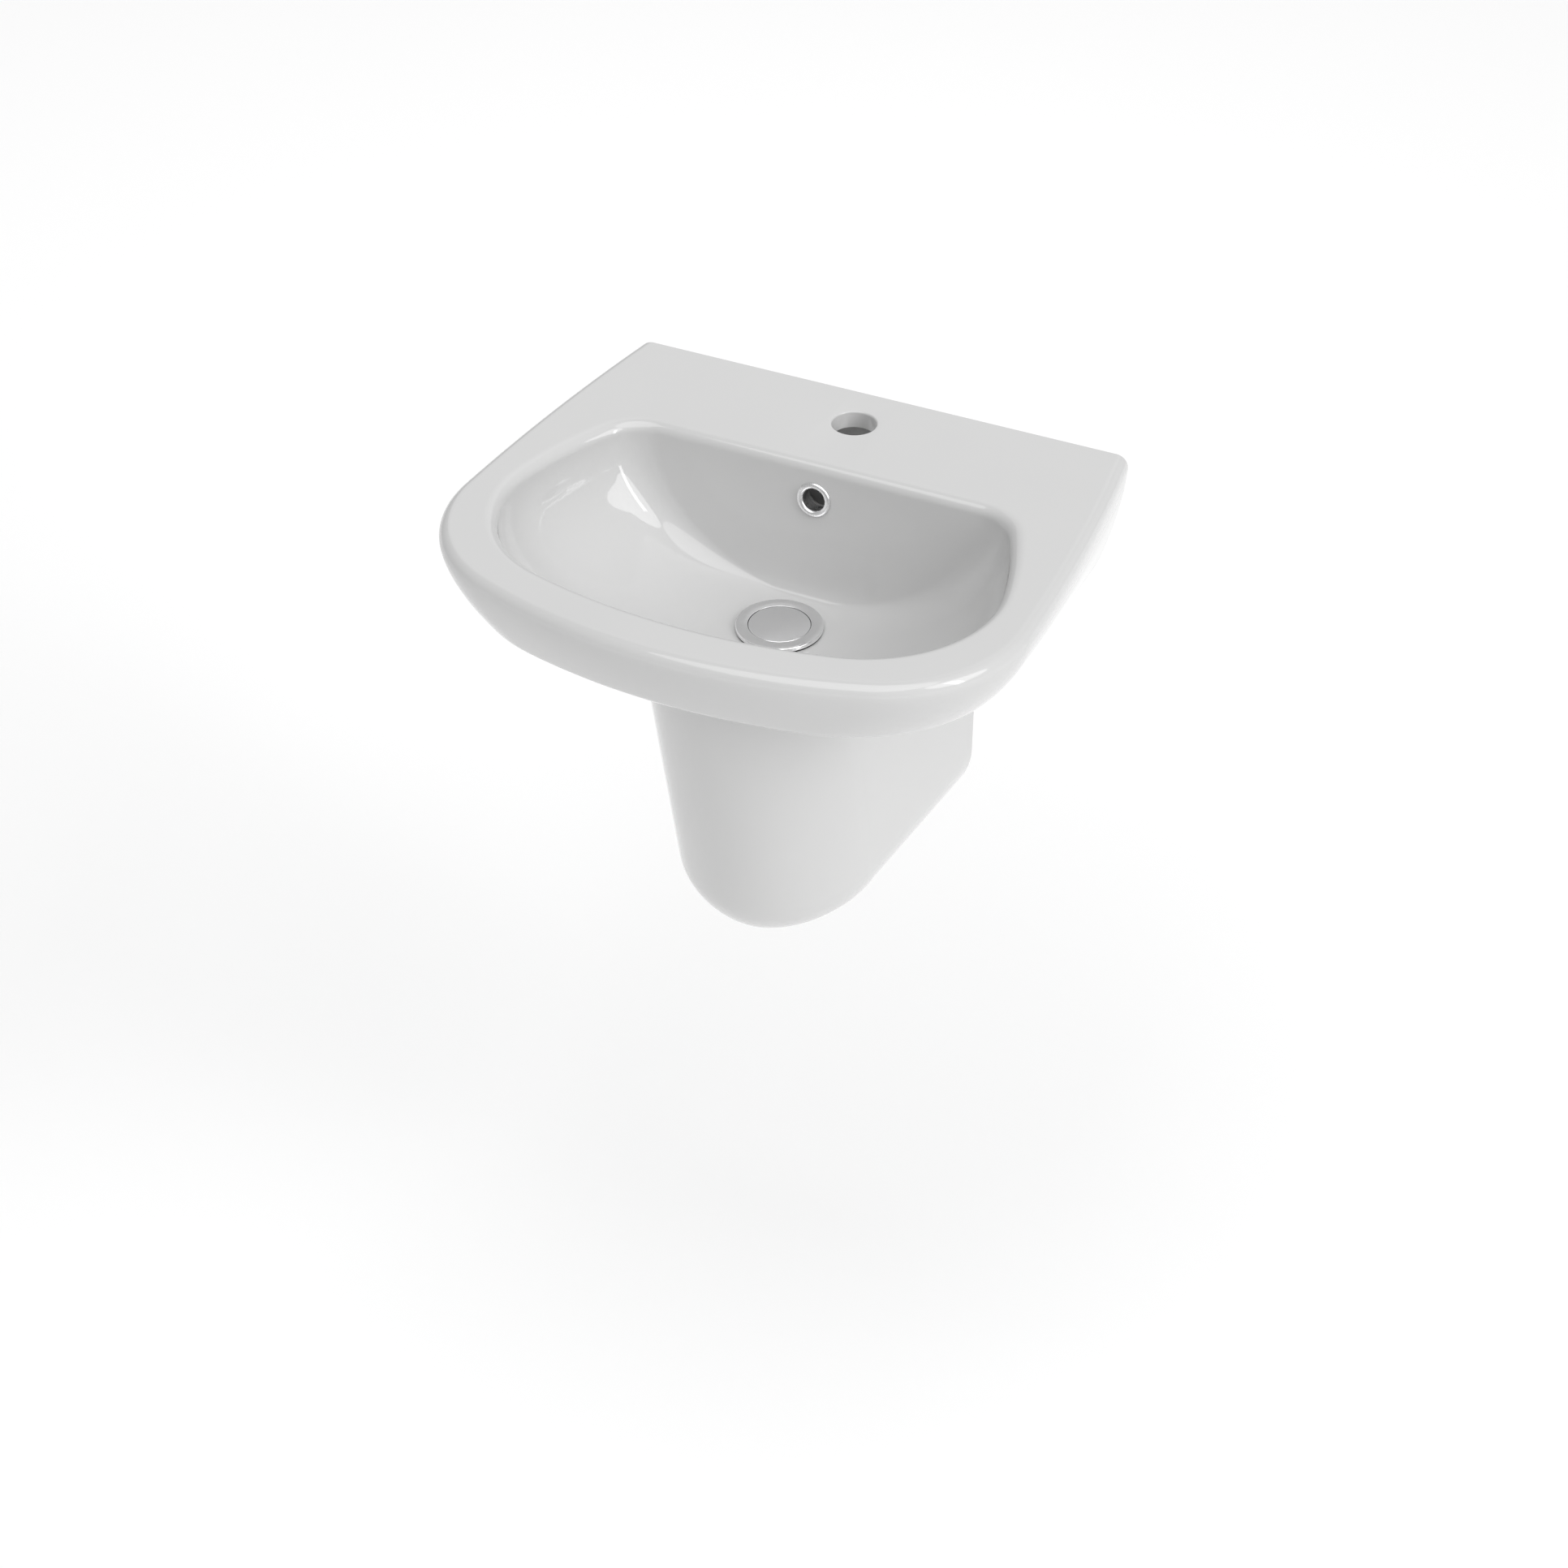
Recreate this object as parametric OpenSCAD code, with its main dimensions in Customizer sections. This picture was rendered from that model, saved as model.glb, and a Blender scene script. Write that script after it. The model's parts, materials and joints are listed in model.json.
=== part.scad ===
// Wall-hung wash basin on a semi-pedestal, with push-button waste and bottle trap.
// Millimetres, +Z up. The wall is the plane y = 0, the front of the basin faces -Y,
// and the origin lies midway between the two wall studs that carry the basin.

/* [Basin] */
// Overall width of the basin at its widest
basin_w = 462; // [450:1:480]
// Width of the basin where it meets the wall
back_w = 420; // [400:1:430]
// Overall depth from the wall to the front rim
basin_d = 389; // [384:1:394]
// Distance from the wall to the widest point
widest_y = 292; // [260:1:310]
// Radius of the plan's front corners
corner_r = 118; // [100:1:130]
// Radius of the plan's bowed front
front_r = 450; // [400:5:600]
// Radius of the rim's outer edge
edge_r = 9; // [6:0.5:11]
// Height of the deck above the wall studs
deck_z = 65; // [60:1:70]
// Drop from the deck to the lower edge of the side, at the wall
side_drop = 100; // [90:1:105]
// Drop from the deck to the lower edge of the apron, at the front
apron_drop = 49; // [46:1:60]
// How far the side leans in by its lower edge, at the wall
back_lean = 18; // [10:1:25]
// How far the side leans in by its lower edge, at the widest point
side_lean = 26; // [15:1:35]
// How far the apron leans in by its lower edge
apron_lean = 12; // [6:1:20]
// How much rounder the front corners are along the lower edge
corner_ease = 5; // [0:1:30]

/* [Bowl] */
// Width of the bowl's mouth at its widest
bowl_w = 415; // [400:1:420]
// Width of the bowl's mouth along its back edge
bowl_back_w = 331; // [310:1:340]
// Distance from the wall to the bowl's back edge
bowl_back_y = 106; // [100:1:110]
// Distance from the wall to the bowl's front edge
bowl_front_y = 355; // [350:1:358]
// Distance from the wall to the bowl's widest point
bowl_widest_y = 272; // [260:1:285]
// Radius of the bowl mouth's front corners
bowl_corner_r = 111; // [95:1:120]
// Radius of the bowl mouth's bowed front
bowl_front_r = 470; // [420:5:560]
// Radius of the bowl mouth's back corners
bowl_back_r = 46; // [30:1:50]
// Depth of the bowl's floor below the deck
bowl_depth = 111; // [108:1:113]

/* [Fittings] */
// Diameter of the tap hole
tap_hole_d = 35; // [34:0.5:36]
// Distance from the wall to the tap hole
tap_y = 45; // [44:1:50]
// Distance from the wall to the waste
waste_y = 178; // [176:1:182]
// Diameter of the waste's visible flange
flange_d = 68; // [66:1:70]
// Diameter of the push plug
plug_d = 48; // [46:0.5:48]
// Travel of the plug from closed to open
plug_travel = 8; // [6:0.5:8]
// Distance between the basin's wall studs
stud_spacing = 280; // [270:1:290]
// Diameter of the basin's wall studs
stud_d = 10; // [8:1:10]

/* [Semi-pedestal] */
// Width of the semi-pedestal at the wall
pedestal_w = 188; // [184:1:192]
// Width of the semi-pedestal where its front starts to round
pedestal_front_w = 164; // [160:1:168]
// Depth of the semi-pedestal level with the deck
pedestal_d = 336; // [330:1:340]
// Drop from the deck to the semi-pedestal's underside
pedestal_drop = 383; // [380:1:386]
// Radius of the semi-pedestal's lower edge
pedestal_edge_r = 66; // [60:1:68]
// Wall thickness of the semi-pedestal
pedestal_wall = 9; // [8:0.5:10]

/* [Trap] */
// Outer diameter of the trap's pipes
pipe_d = 32; // [32:0.5:33]
// Outer diameter of the bottle
bottle_d = 66; // [64:1:68]
// Length that the outlet pipe runs into the wall
pipe_in_wall = 40; // [20:1:50]

/* [Hidden] */

$fn = 48;
glaze = [0.93, 0.93, 0.92];
chrome = [0.75, 0.76, 0.78];
brass = [0.80, 0.68, 0.40];
steel = [0.70, 0.71, 0.72];
white_plastic = [0.90, 0.90, 0.90];
black_rubber = [0.12, 0.12, 0.12];

// Steps along each stretch of a ring, from the middle of its back to the middle of its front
back_steps = 2;
back_corner_steps = 5;
side_steps = 7;
corner_steps = 8;
front_steps = 5;

// Levels, all measured from the deck
floor_z = deck_z - bowl_depth;          // flat floor round the waste
boss_z = floor_z - 17;                  // ground seat under the basin, round the waste
belly_z = boss_z + 1.5;                 // lowest part of the underside round that seat
flange_top = floor_z + 4.5;
seal_t = 1.5;                           // the seal under the flange
tail_end = boss_z - 62;                 // lower end of the waste's threaded tail
tail_r = 20.95;                         // thread of the waste, 1 1/4 inch
waste_bore_r = 22.5;
seat_r = 41;                            // flat seat in the bowl's floor
countersink_r = 30;
countersink_h = 8;
crease_y = 127;                         // foot of the bowl's back wall
overflow_z = deck_z - 29;
overflow_hole_r = 11.5;
pipe_r = pipe_d / 2;
outlet_z = tail_end - 58;               // axis of the trap's outlet
bottle_r = bottle_d / 2;
bottle_top = outlet_z + 22;
bottle_low = outlet_z - 22;
cup_low = bottle_low - 70;
cup_lift = 12;                          // travel of the cup until its thread lets go

// ---- Rings ----------------------------------------------------------------------------------
// A ring is a plan outline made of tangent stretches: a straight back, back corners, bowed sides,
// front corners and a bowed front. A plan holds its sizes:
// [half width, widest y, half width at the back, front y, corner r, front r, back y, back corner r]
function side_r(p) = let (rise = p[0] - p[2], run = p[1] - p[6]) (run * run + rise * rise) / (2 * rise);

function arc(c, r, from, to, steps) =
    [for (i = [1:steps]) let (a = from + (to - from) * i / steps) [c[0] + r * cos(a), c[1] + r * sin(a)]];

function half_ring(p) =
    let (
        rs = side_r(p),
        side_c = [p[0] - rs, -p[1]],
        back_c = [side_c[0] + sqrt(pow(rs - p[7], 2) - pow(p[1] - p[6] - p[7], 2)), -p[6] - p[7]],
        front_c = [0, p[5] - p[3]],
        to_side = rs - p[4],
        to_front = p[5] - p[4],
        gap = front_c - side_c,
        span = norm(gap),
        along = (to_side * to_side - to_front * to_front + span * span) / (2 * span),
        across = sqrt(to_side * to_side - along * along),
        unit = gap / span,
        corner_c = side_c + unit * along + [unit[1], -unit[0]] * across * (gap[1] > 0 ? 1 : -1),
        a_back = atan2(back_c[1] - side_c[1], back_c[0] - side_c[0]),
        a_side = atan2(corner_c[1] - side_c[1], corner_c[0] - side_c[0]),
        a_corner = atan2(corner_c[1] - front_c[1], corner_c[0] - front_c[0])
    )
    concat(
        [for (i = [0:back_steps]) [back_c[0] * i / back_steps, -p[6]]],
        arc(back_c, p[7], 90, a_back, back_corner_steps),
        arc(side_c, rs, a_back, a_side, side_steps),
        arc(corner_c, p[4], a_side, a_corner, corner_steps),
        arc(front_c, p[5], a_corner, -90, front_steps)
    );

// The whole ring, clockwise from above, starting at the middle of the back
function ring(p) =
    let (h = half_ring(p), n = len(h))
    concat(h, [for (i = [n - 2:-1:1]) [-h[i][0], h[i][1]]]);

function grown(p, o) = [p[0] + o, p[1], p[2] + o, p[3] + o, p[4] + o, p[5] + o, p[6], p[7]];
function shrunk(p, o) = [p[0] - o, p[1], p[2] - o, p[3] - o, p[4] - o, p[5] - o, p[6] + o, p[7] - o];
function mixed(p, q, t) = p + (q - p) * t;
function at_height(r, z) = [for (q = r) [q[0], q[1], z]];

// Triangles that fan out over a flat face from its middle corner
function fan(f) = let (n = len(f), m = floor(n / 2))
    [for (i = [1:n - 2]) [f[m], f[(m + i) % n], f[(m + i + 1) % n]]];

// Walls through a stack of closed rings, with a flat cap on the first and on the last
module skin(rings) {
    n = len(rings[0]);
    last = len(rings) - 1;
    points = [for (r = rings) each r];
    walls = [for (k = [0:last - 1], i = [0:n - 1]) let (j = (i + 1) % n, a = k * n, b = a + n)
             each [[a + i, a + j, b + j], [a + i, b + j, b + i]]];
    first_cap = fan([for (i = [n - 1:-1:0]) i]);
    last_cap = fan([for (i = [0:n - 1]) last * n + i]);
    polyhedron(points, concat(walls, first_cap, last_cap), convexity = 8);
}

// ---- Basin ----------------------------------------------------------------------------------
deck_plan = [basin_w / 2 - edge_r, widest_y, back_w / 2 - edge_r, basin_d - edge_r,
             corner_r - edge_r, front_r - edge_r, 0, 2];
rim_plan = grown(deck_plan, edge_r);
mouth_plan = [bowl_w / 2, bowl_widest_y, bowl_back_w / 2, bowl_front_y, bowl_corner_r, bowl_front_r,
              bowl_back_y, bowl_back_r];
seat_plan = [seat_r, waste_y, seat_r - 0.4, waste_y + seat_r, seat_r - 0.5, seat_r + 0.5,
             waste_y - seat_r, seat_r * 0.9];
boss_plan = [seat_r + 8, waste_y, seat_r + 4, waste_y + seat_r + 8, seat_r + 7, seat_r + 9, 0, 2];
lean_plan = [side_lean, 0, back_lean, apron_lean, -corner_ease, apron_lean, 0, 0];
bowl_fullness = 1.12;                   // 1 gives an elliptical wall, less gives a fuller one
belly_fullness = 1.75;
mouth_r = 9;                            // rounding of the bowl's edge

// Height of the lower edge of the outside, rising from the wall to the front
lower_bow = 1.2;                        // 1 gives a straight lower edge, more gives a bowed one
function lower_edge(y) = deck_z - apron_drop - (side_drop - apron_drop) * pow(max(0, 1 + y / basin_d), lower_bow);

edge_rings = [for (a = [0:18:90]) at_height(ring(grown(deck_plan, edge_r * sin(a))),
                                            deck_z - edge_r * (1 - cos(a)))];

wall_rings = [for (t = [0.25:0.25:1]) let (r = ring(rim_plan - lean_plan * pow(t, 1.6)))
              [for (q = r) [q[0], q[1], (deck_z - edge_r) * (1 - t) + lower_edge(q[1]) * t]]];

belly_rings = [for (k = [1:7]) let (
                   a = 90 * k / 7,
                   inward = 1 - pow(cos(a), belly_fullness),
                   down = pow(sin(a), belly_fullness),
                   r = ring(mixed(rim_plan - lean_plan, boss_plan, inward)))
               [for (q = r) [q[0], q[1], lower_edge(q[1]) * (1 - down) + belly_z * down]]];

bowl_edge_rings = [for (a = [0:22.5:90]) at_height(ring(shrunk(mouth_plan, mouth_r * sin(a))),
                                                   deck_z - mouth_r * (1 - cos(a)))];

// The back wall stays steep down to its foot, and the floor runs from there to the seat
function bowl_plan(inward, down) =
    let (
        p = mixed(shrunk(mouth_plan, mouth_r), seat_plan, inward),
        wall_y = bowl_back_y + mouth_r + (crease_y - bowl_back_y - mouth_r) * down,
        seat_y = waste_y - seat_r,
        back = wall_y + (seat_y - wall_y) * pow(inward, 5),
        back_r = min(p[7], (p[1] - back) * 0.9)
    )
    [p[0], p[1], p[2], p[3], p[4], p[5], back, back_r];

bowl_rings = [for (k = [1:11]) let (
                  a = 90 * k / 11,
                  inward = 1 - pow(cos(a), bowl_fullness),
                  down = pow(sin(a), bowl_fullness))
              at_height(ring(bowl_plan(inward, down)),
                        (deck_z - mouth_r) * (1 - down) + floor_z * down)];

basin_rings = concat([for (i = [len(belly_rings) - 1:-1:0]) belly_rings[i]],
                     [for (i = [len(wall_rings) - 1:-1:0]) wall_rings[i]],
                     [for (i = [len(edge_rings) - 1:-1:0]) edge_rings[i]],
                     bowl_edge_rings, bowl_rings);

// Section through the hollow behind the bowl, open below: [y, z] points
back_wall = 14;
deck_t = 14;
bowl_wall = 10;
function hollow(front_top, front_foot) = [
    [-back_wall, deck_z - deck_t], [-front_top, deck_z - deck_t], [-front_foot, floor_z + 8],
    [-front_foot - 6, boss_z - 20], [-back_wall, boss_z - 20]];
hollow_w = 330;
duct_w = 44;                            // the overflow duct stands in the middle of the hollow
duct_back_y = 88;
channel_w = 28;
channel_y = 102;
channel_t = 9;
wall_lean = atan((crease_y - bowl_back_y - mouth_r) / (bowl_depth - mouth_r));
overflow_y = bowl_back_y + mouth_r + (deck_z - mouth_r - overflow_z) * tan(wall_lean);

module prism_along_x(section, from, to) {
    translate([from, 0, 0])
    rotate([90, 0, 90])
    linear_extrude(to - from)
    polygon(section);
}

module at_overflow() {
    translate([0, -overflow_y, overflow_z])
    rotate([90 - wall_lean, 0, 0])
    children();
}

module at_studs() {
    for (side = [-1, 1])
        translate([side * stud_spacing / 2, 0, 0])
        rotate([90, 0, 0])
        children();
}

stud_hole_r = 7;

module basin() {
    foot = crease_y - bowl_wall;
    color(glaze)
    difference() {
        union() {
            skin(basin_rings);
            translate([0, -waste_y, boss_z])
                cylinder(r = seat_r, h = 6);
        }
        prism_along_x(hollow(bowl_back_y - 4, foot), duct_w / 2, hollow_w / 2);
        prism_along_x(hollow(bowl_back_y - 4, foot), -hollow_w / 2, -duct_w / 2);
        prism_along_x(hollow(duct_back_y, duct_back_y), -duct_w / 2 - 1, duct_w / 2 + 1);
        translate([0, -tap_y, deck_z - deck_t - 1])
            cylinder(r = tap_hole_d / 2, h = deck_t + 2);
        translate([0, -waste_y, 0])
            rotate_extrude()
            polygon([[0, boss_z - 1], [waste_bore_r, boss_z - 1], [waste_bore_r, floor_z - countersink_h],
                     [countersink_r, floor_z], [countersink_r, floor_z + 3], [0, floor_z + 3]]);
        at_studs()
            translate([0, 0, -1])
            cylinder(r = stud_hole_r, h = back_wall + 2);
        // the overflow runs from its hole down the duct and forward to the waste
        at_overflow()
            translate([0, 0, -20])
            cylinder(r = overflow_hole_r, h = 28);
        translate([-channel_w / 2, -channel_y, boss_z + 4])
            cube([channel_w, channel_t, overflow_z + 14 - boss_z - 4]);
        translate([-channel_w / 2, -waste_y, boss_z + 4])
            cube([channel_w, waste_y - channel_y + channel_t, 7]);
    }
}

// ---- Semi-pedestal --------------------------------------------------------------------------
// An open curve round the front at one height, from the wall on the left to the wall on the right
pedestal_lean = 12.3;                   // lean of its front, in degrees
pedestal_reach = 96;                    // depth of its rounded front
pedestal_steps = 14;
pedestal_low = deck_z - pedestal_drop;
pedestal_top = deck_z - 55;

function u_curve(half, flare, depth, z) =
    let (reach = min(pedestal_reach, depth - 5))
    concat(
        [[-half - flare, 0, z], [-half - flare / 2, (reach - depth) / 2, z]],
        [for (i = [0:pedestal_steps]) let (a = 180 * i / pedestal_steps)
            [-half * cos(a), reach - depth - reach * sin(a), z]],
        [[half + flare / 2, (reach - depth) / 2, z], [half + flare, 0, z]]);

// Curves from the top down to the underside, for a skin lying inset from the outside
function pedestal_curves(inset) =
    let (
        half = pedestal_front_w / 2 - inset,
        flare = (pedestal_w - pedestal_front_w) / 2,
        r = pedestal_edge_r - inset,
        bend_z = pedestal_low + pedestal_edge_r
    )
    concat(
        [for (z = [pedestal_top, (pedestal_top + bend_z) / 2])
            u_curve(half, flare, pedestal_d - (deck_z - z) * tan(pedestal_lean) - inset, z)],
        [for (a = [0:11.25:90]) let (z = bend_z - r * sin(a), i = r * (1 - cos(a)))
            u_curve(half - i, flare, pedestal_d - (deck_z - z) * tan(pedestal_lean) - inset - i, z)]);

// A shell between two stacks of open curves, open at the wall and at the top
module shell(outer, inner) {
    n = len(outer[0]);
    last = len(outer) - 1;
    far = (last + 1) * n;
    points = concat([for (c = outer) each c], [for (c = inner) each c]);
    outside = [for (k = [0:last - 1], i = [0:n - 2]) let (a = k * n + i)
               each [[a, a + 1, a + n + 1], [a, a + n + 1, a + n]]];
    inside = [for (f = outside) [f[2] + far, f[1] + far, f[0] + far]];
    rim = [for (i = [0:n - 2]) each [[i + 1, i, far + i], [i + 1, far + i, far + i + 1]]];
    edges = [for (k = [0:last - 1]) let (a = k * n, b = a + n, c = a + n - 1, d = b + n - 1)
             each [[a, b, far + b], [a, far + b, far + a], [d, c, far + c], [d, far + c, far + d]]];
    under = fan([for (i = [0:n - 1]) last * n + i]);
    floor_face = fan([for (i = [n - 1:-1:0]) far + last * n + i]);
    sill = fan([last * n, last * n + n - 1, far + last * n + n - 1, far + last * n]);
    polyhedron(points, concat(outside, inside, rim, edges, under, floor_face, sill), convexity = 6);
}

lug_x = 62;
lug_z = deck_z - 235;
lug_hole_r = 4.5;
lug_t = 10;

module at_lugs() {
    for (side = [-1, 1])
        translate([side * lug_x, 0, lug_z])
        rotate([90, 0, 0])
        children();
}

// The underside of the basin, lowered a little and drawn back, trims the top of the semi-pedestal
fit_gap = 2;
function drawn_back(r) = [for (q = r) q[1] > -2.5 ? q + [0, 5, 0] : q];
trim_rings = concat([for (i = [len(belly_rings) - 1:-1:0]) [for (q = drawn_back(belly_rings[i])) q - [0, 0, fit_gap]]],
                    [at_height(drawn_back(ring(rim_plan)), deck_z)]);

module semi_pedestal() {
    color(glaze)
    difference() {
        union() {
            shell(pedestal_curves(0), pedestal_curves(pedestal_wall));
            for (side = [-1, 1])
                translate([side > 0 ? lug_x - 12 : -lug_x - 26, -lug_t, lug_z - 20])
                cube([38, lug_t, 40]);
        }
        skin(trim_rings);
        at_lugs()
            translate([0, 0, -1])
            cylinder(r = lug_hole_r, h = lug_t + 2);
    }
}

// ---- Overflow and waste ---------------------------------------------------------------------
module ring_of(inner_r, outer_r, low, high) {
    translate([0, 0, low])
    difference() {
        cylinder(r = outer_r, h = high - low);
        translate([0, 0, -1])
            cylinder(r = inner_r, h = high - low + 2);
    }
}

module turned(profile) {
    rotate_extrude()
    polygon(profile);
}

module hex_nut(bore_r, across_flats, low, high) {
    translate([0, 0, low])
    difference() {
        cylinder(r = across_flats / 2 / cos(30), h = high - low, $fn = 6);
        translate([0, 0, -1])
            cylinder(r = bore_r, h = high - low + 2);
    }
}

module overflow_ring() {
    color(chrome)
    at_overflow()
    turned([[9, -10], [overflow_hole_r - 0.1, -10], [overflow_hole_r - 0.1, 0.2], [14, 0.2],
            [14, 1.2], [13.2, 2.2], [12, 2.6], [10.6, 2.4], [9.6, 1.6], [9, 0.4]]);
}

module at_waste() {
    translate([0, -waste_y, 0])
    children();
}

flange_r = flange_d / 2;
plug_r = plug_d / 2;
recess_r = plug_r + 0.4;
tube_r = 18;
cone_top = floor_z - 0.2;
cone_foot = floor_z - 7;
hub_top = boss_z - 2;
hub_low = hub_top - 6;
sleeve_r = 9;
slot_low = boss_z + 4;
slot_high = boss_z + 10;

module waste_body() {
    color(chrome)
    at_waste()
    difference() {
        union() {
            turned([[tube_r, tail_end], [tail_r, tail_end], [tail_r, floor_z - 8.2], [27.8, floor_z],
                    [29.3, flange_top - 3], [flange_r, flange_top - 3], [flange_r, flange_top - 0.8],
                    [flange_r - 0.8, flange_top], [recess_r, flange_top], [recess_r, cone_top],
                    [tube_r, cone_foot]]);
            ring_of(sleeve_r, 12, hub_low, hub_top);
            for (a = [30:120:270])
                rotate(a)
                translate([10.5, -1.5, hub_low])
                cube([tube_r - 9.5, 3, hub_top - hub_low]);
        }
        // windows that let the overflow water in
        translate([-7, -tail_r - 1, slot_low])
            cube([14, 2 * tail_r + 2, slot_high - slot_low]);
    }
}

plug_top = flange_top - 0.2;
plug_t = 2.6;
plug_under = plug_top - plug_t;
plug_low = plug_under - 8;
seal_wire_r = 1.6;
plug_seal_r = plug_r - 2.8;
cone_angle = atan2(cone_top - cone_foot, recess_r - tube_r);
// With the plug closed its seal lies on the cone
plug_seal_z = cone_top
    + (seal_wire_r + 0.05 - (recess_r - plug_seal_r) * sin(cone_angle)) / cos(cone_angle);

module waste_plug() {
    groove_r = plug_seal_r - seal_wire_r - 0.1;
    groove_top = plug_seal_z + seal_wire_r + 0.1;
    groove_low = plug_seal_z - seal_wire_r - 0.1;
    color(chrome)
    at_waste()
    turned([[0, plug_top], [plug_r - 0.6, plug_top], [plug_r, plug_top - 0.6], [plug_r, plug_under],
            [plug_seal_r, plug_under], [plug_seal_r, groove_top], [groove_r, groove_top],
            [groove_r, groove_low], [groove_r + 0.7, groove_low], [groove_r + 0.7, groove_low - 0.7],
            [8, plug_low], [spindle_r, plug_low], [spindle_r, plug_under - 2], [0, plug_under - 2]]);
}

module plug_seal() {
    color(black_rubber)
    at_waste()
    translate([0, 0, plug_seal_z])
    rotate_extrude()
    translate([plug_seal_r, 0])
    circle(r = seal_wire_r, $fn = 24);
}

spindle_r = 3;
sleeve_top = hub_top + 4;
sleeve_low = hub_low - 32;
collar_top = sleeve_top - 4 - plug_travel - 1;

module plug_spindle() {
    color(brass)
    at_waste()
    turned([[0, plug_under - 2.1], [spindle_r - 0.05, plug_under - 2.1], [spindle_r - 0.05, collar_top],
            [6.4, collar_top], [6.4, collar_top - 2], [0, collar_top - 2]]);
}

module cartridge_sleeve() {
    color(white_plastic)
    at_waste()
    turned([[spindle_r + 0.05, sleeve_top], [10.5, sleeve_top], [10.5, hub_top], [sleeve_r - 0.05, hub_top],
            [sleeve_r - 0.05, sleeve_low], [0, sleeve_low], [0, sleeve_low + 2.5], [7.2, sleeve_low + 2.5],
            [7.2, sleeve_top - 4], [spindle_r + 0.05, sleeve_top - 4]]);
}

spring_low = sleeve_low + 2.5;
spring_high = collar_top - 2;
spring_turns = 6;
spring_steps = 14;
spring_wire_r = 0.55;
spring_r = 5.4;

// A coil swept as one tube: rings of points round the wire, one ring at each step along it
module cartridge_spring() {
    steps = spring_turns * spring_steps;
    low = spring_low + spring_wire_r + 0.1;
    rise = (spring_high - spring_wire_r - 0.1 - low) / steps;
    rings = [for (k = [0:steps]) let (a = 360 * k / spring_steps, z = low + k * rise)
             [for (w = [0:60:300]) let (r = spring_r + spring_wire_r * cos(w))
                 [r * cos(a), r * sin(a), z - spring_wire_r * sin(w)]]];
    color(steel)
    at_waste()
    skin(rings);
}

module waste_top_seal() {
    color(black_rubber)
    at_waste()
    ring_of(countersink_r + 0.2, flange_r - 0.6, floor_z, floor_z + seal_t);
}

module waste_lower_seal() {
    color(black_rubber)
    at_waste()
    ring_of(tail_r + 0.15, 33, boss_z - 3.5, boss_z);
}

module waste_backnut() {
    color(brass)
    at_waste()
    hex_nut(tail_r + 0.05, 54, boss_z - 12.5, boss_z - 3.5);
}

// ---- Trap -----------------------------------------------------------------------------------
module ribbed_nut(bore_r, outer_r, low, high, shoulder_r, shoulder_low, shoulder_high) {
    difference() {
        union() {
            translate([0, 0, low])
                cylinder(r = outer_r, h = high - low);
            for (a = [0:30:330])
                rotate(a)
                translate([outer_r - 0.6, -1.2, low])
                cube([2, 2.4, high - low]);
        }
        translate([0, 0, low - 1])
            cylinder(r = shoulder_r, h = high - low + 2);
        translate([0, 0, shoulder_low > low ? low - 1 : shoulder_high])
            cylinder(r = bore_r, h = shoulder_low > low ? shoulder_low - low + 1 : high - shoulder_high + 1);
    }
}

union_seal_t = 2;
top_hat_t = 2.5;
tube_top = tail_end - union_seal_t;
union_low = tube_top - top_hat_t - 3;

module union_nut() {
    color(white_plastic)
    at_waste()
    ribbed_nut(tail_r + 0.05, 25, union_low, tail_end + 12, pipe_r + 0.5, union_low, union_low + 3);
}

module union_seal() {
    color(black_rubber)
    at_waste()
    ring_of(tube_r - 0.5, tail_r - 0.3, tube_top, tail_end);
}

dip_low = bottle_low - 34;

module inlet_tube() {
    color(white_plastic)
    at_waste()
    turned([[pipe_r - 1.8, dip_low], [pipe_r, dip_low], [pipe_r, tube_top - top_hat_t],
            [tail_r - 0.3, tube_top - top_hat_t], [tail_r - 0.3, tube_top], [pipe_r - 1.8, tube_top]]);
}

neck_r = 20.5;
neck_top = bottle_top + 15;
head_seal_t = 3;

module head_nut() {
    color(white_plastic)
    at_waste()
    ribbed_nut(neck_r + 0.15, 24, bottle_top + 3, neck_top + head_seal_t + 3, pipe_r + 0.5,
               neck_top + head_seal_t, neck_top + head_seal_t + 3);
}

module head_seal() {
    color(black_rubber)
    at_waste()
    ring_of(pipe_r + 0.05, neck_r - 0.4, neck_top, neck_top + head_seal_t);
}

branch_r = 20.5;
branch_end = 54;                        // from the bottle's axis to the end of the branch

module trap_body() {
    color(white_plastic)
    at_waste()
    difference() {
        union() {
            turned([[0, bottle_low - 12], [bottle_r - 4, bottle_low - 12], [bottle_r - 4, bottle_low],
                    [bottle_r, bottle_low], [bottle_r, bottle_top - 3], [bottle_r - 3, bottle_top],
                    [neck_r, bottle_top], [neck_r, neck_top], [0, neck_top]]);
            translate([0, 0, outlet_z])
                rotate([-90, 0, 0])
                cylinder(r = branch_r, h = branch_end);
        }
        translate([0, 0, bottle_low - 13])
            cylinder(r = bottle_r - 6.5, h = bottle_top - bottle_low + 10);
        translate([0, 0, bottle_low])
            cylinder(r = pipe_r + 0.1, h = 80);
        translate([0, 0, outlet_z])
            rotate([-90, 0, 0])
            cylinder(r = pipe_r - 1.8, h = branch_end + 1);
    }
}

module trap_cup_seal() {
    color(black_rubber)
    at_waste()
    ring_of(bottle_r - 3.9, bottle_r - 0.5, bottle_low - 2.4, bottle_low - 0.1);
}

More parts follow.
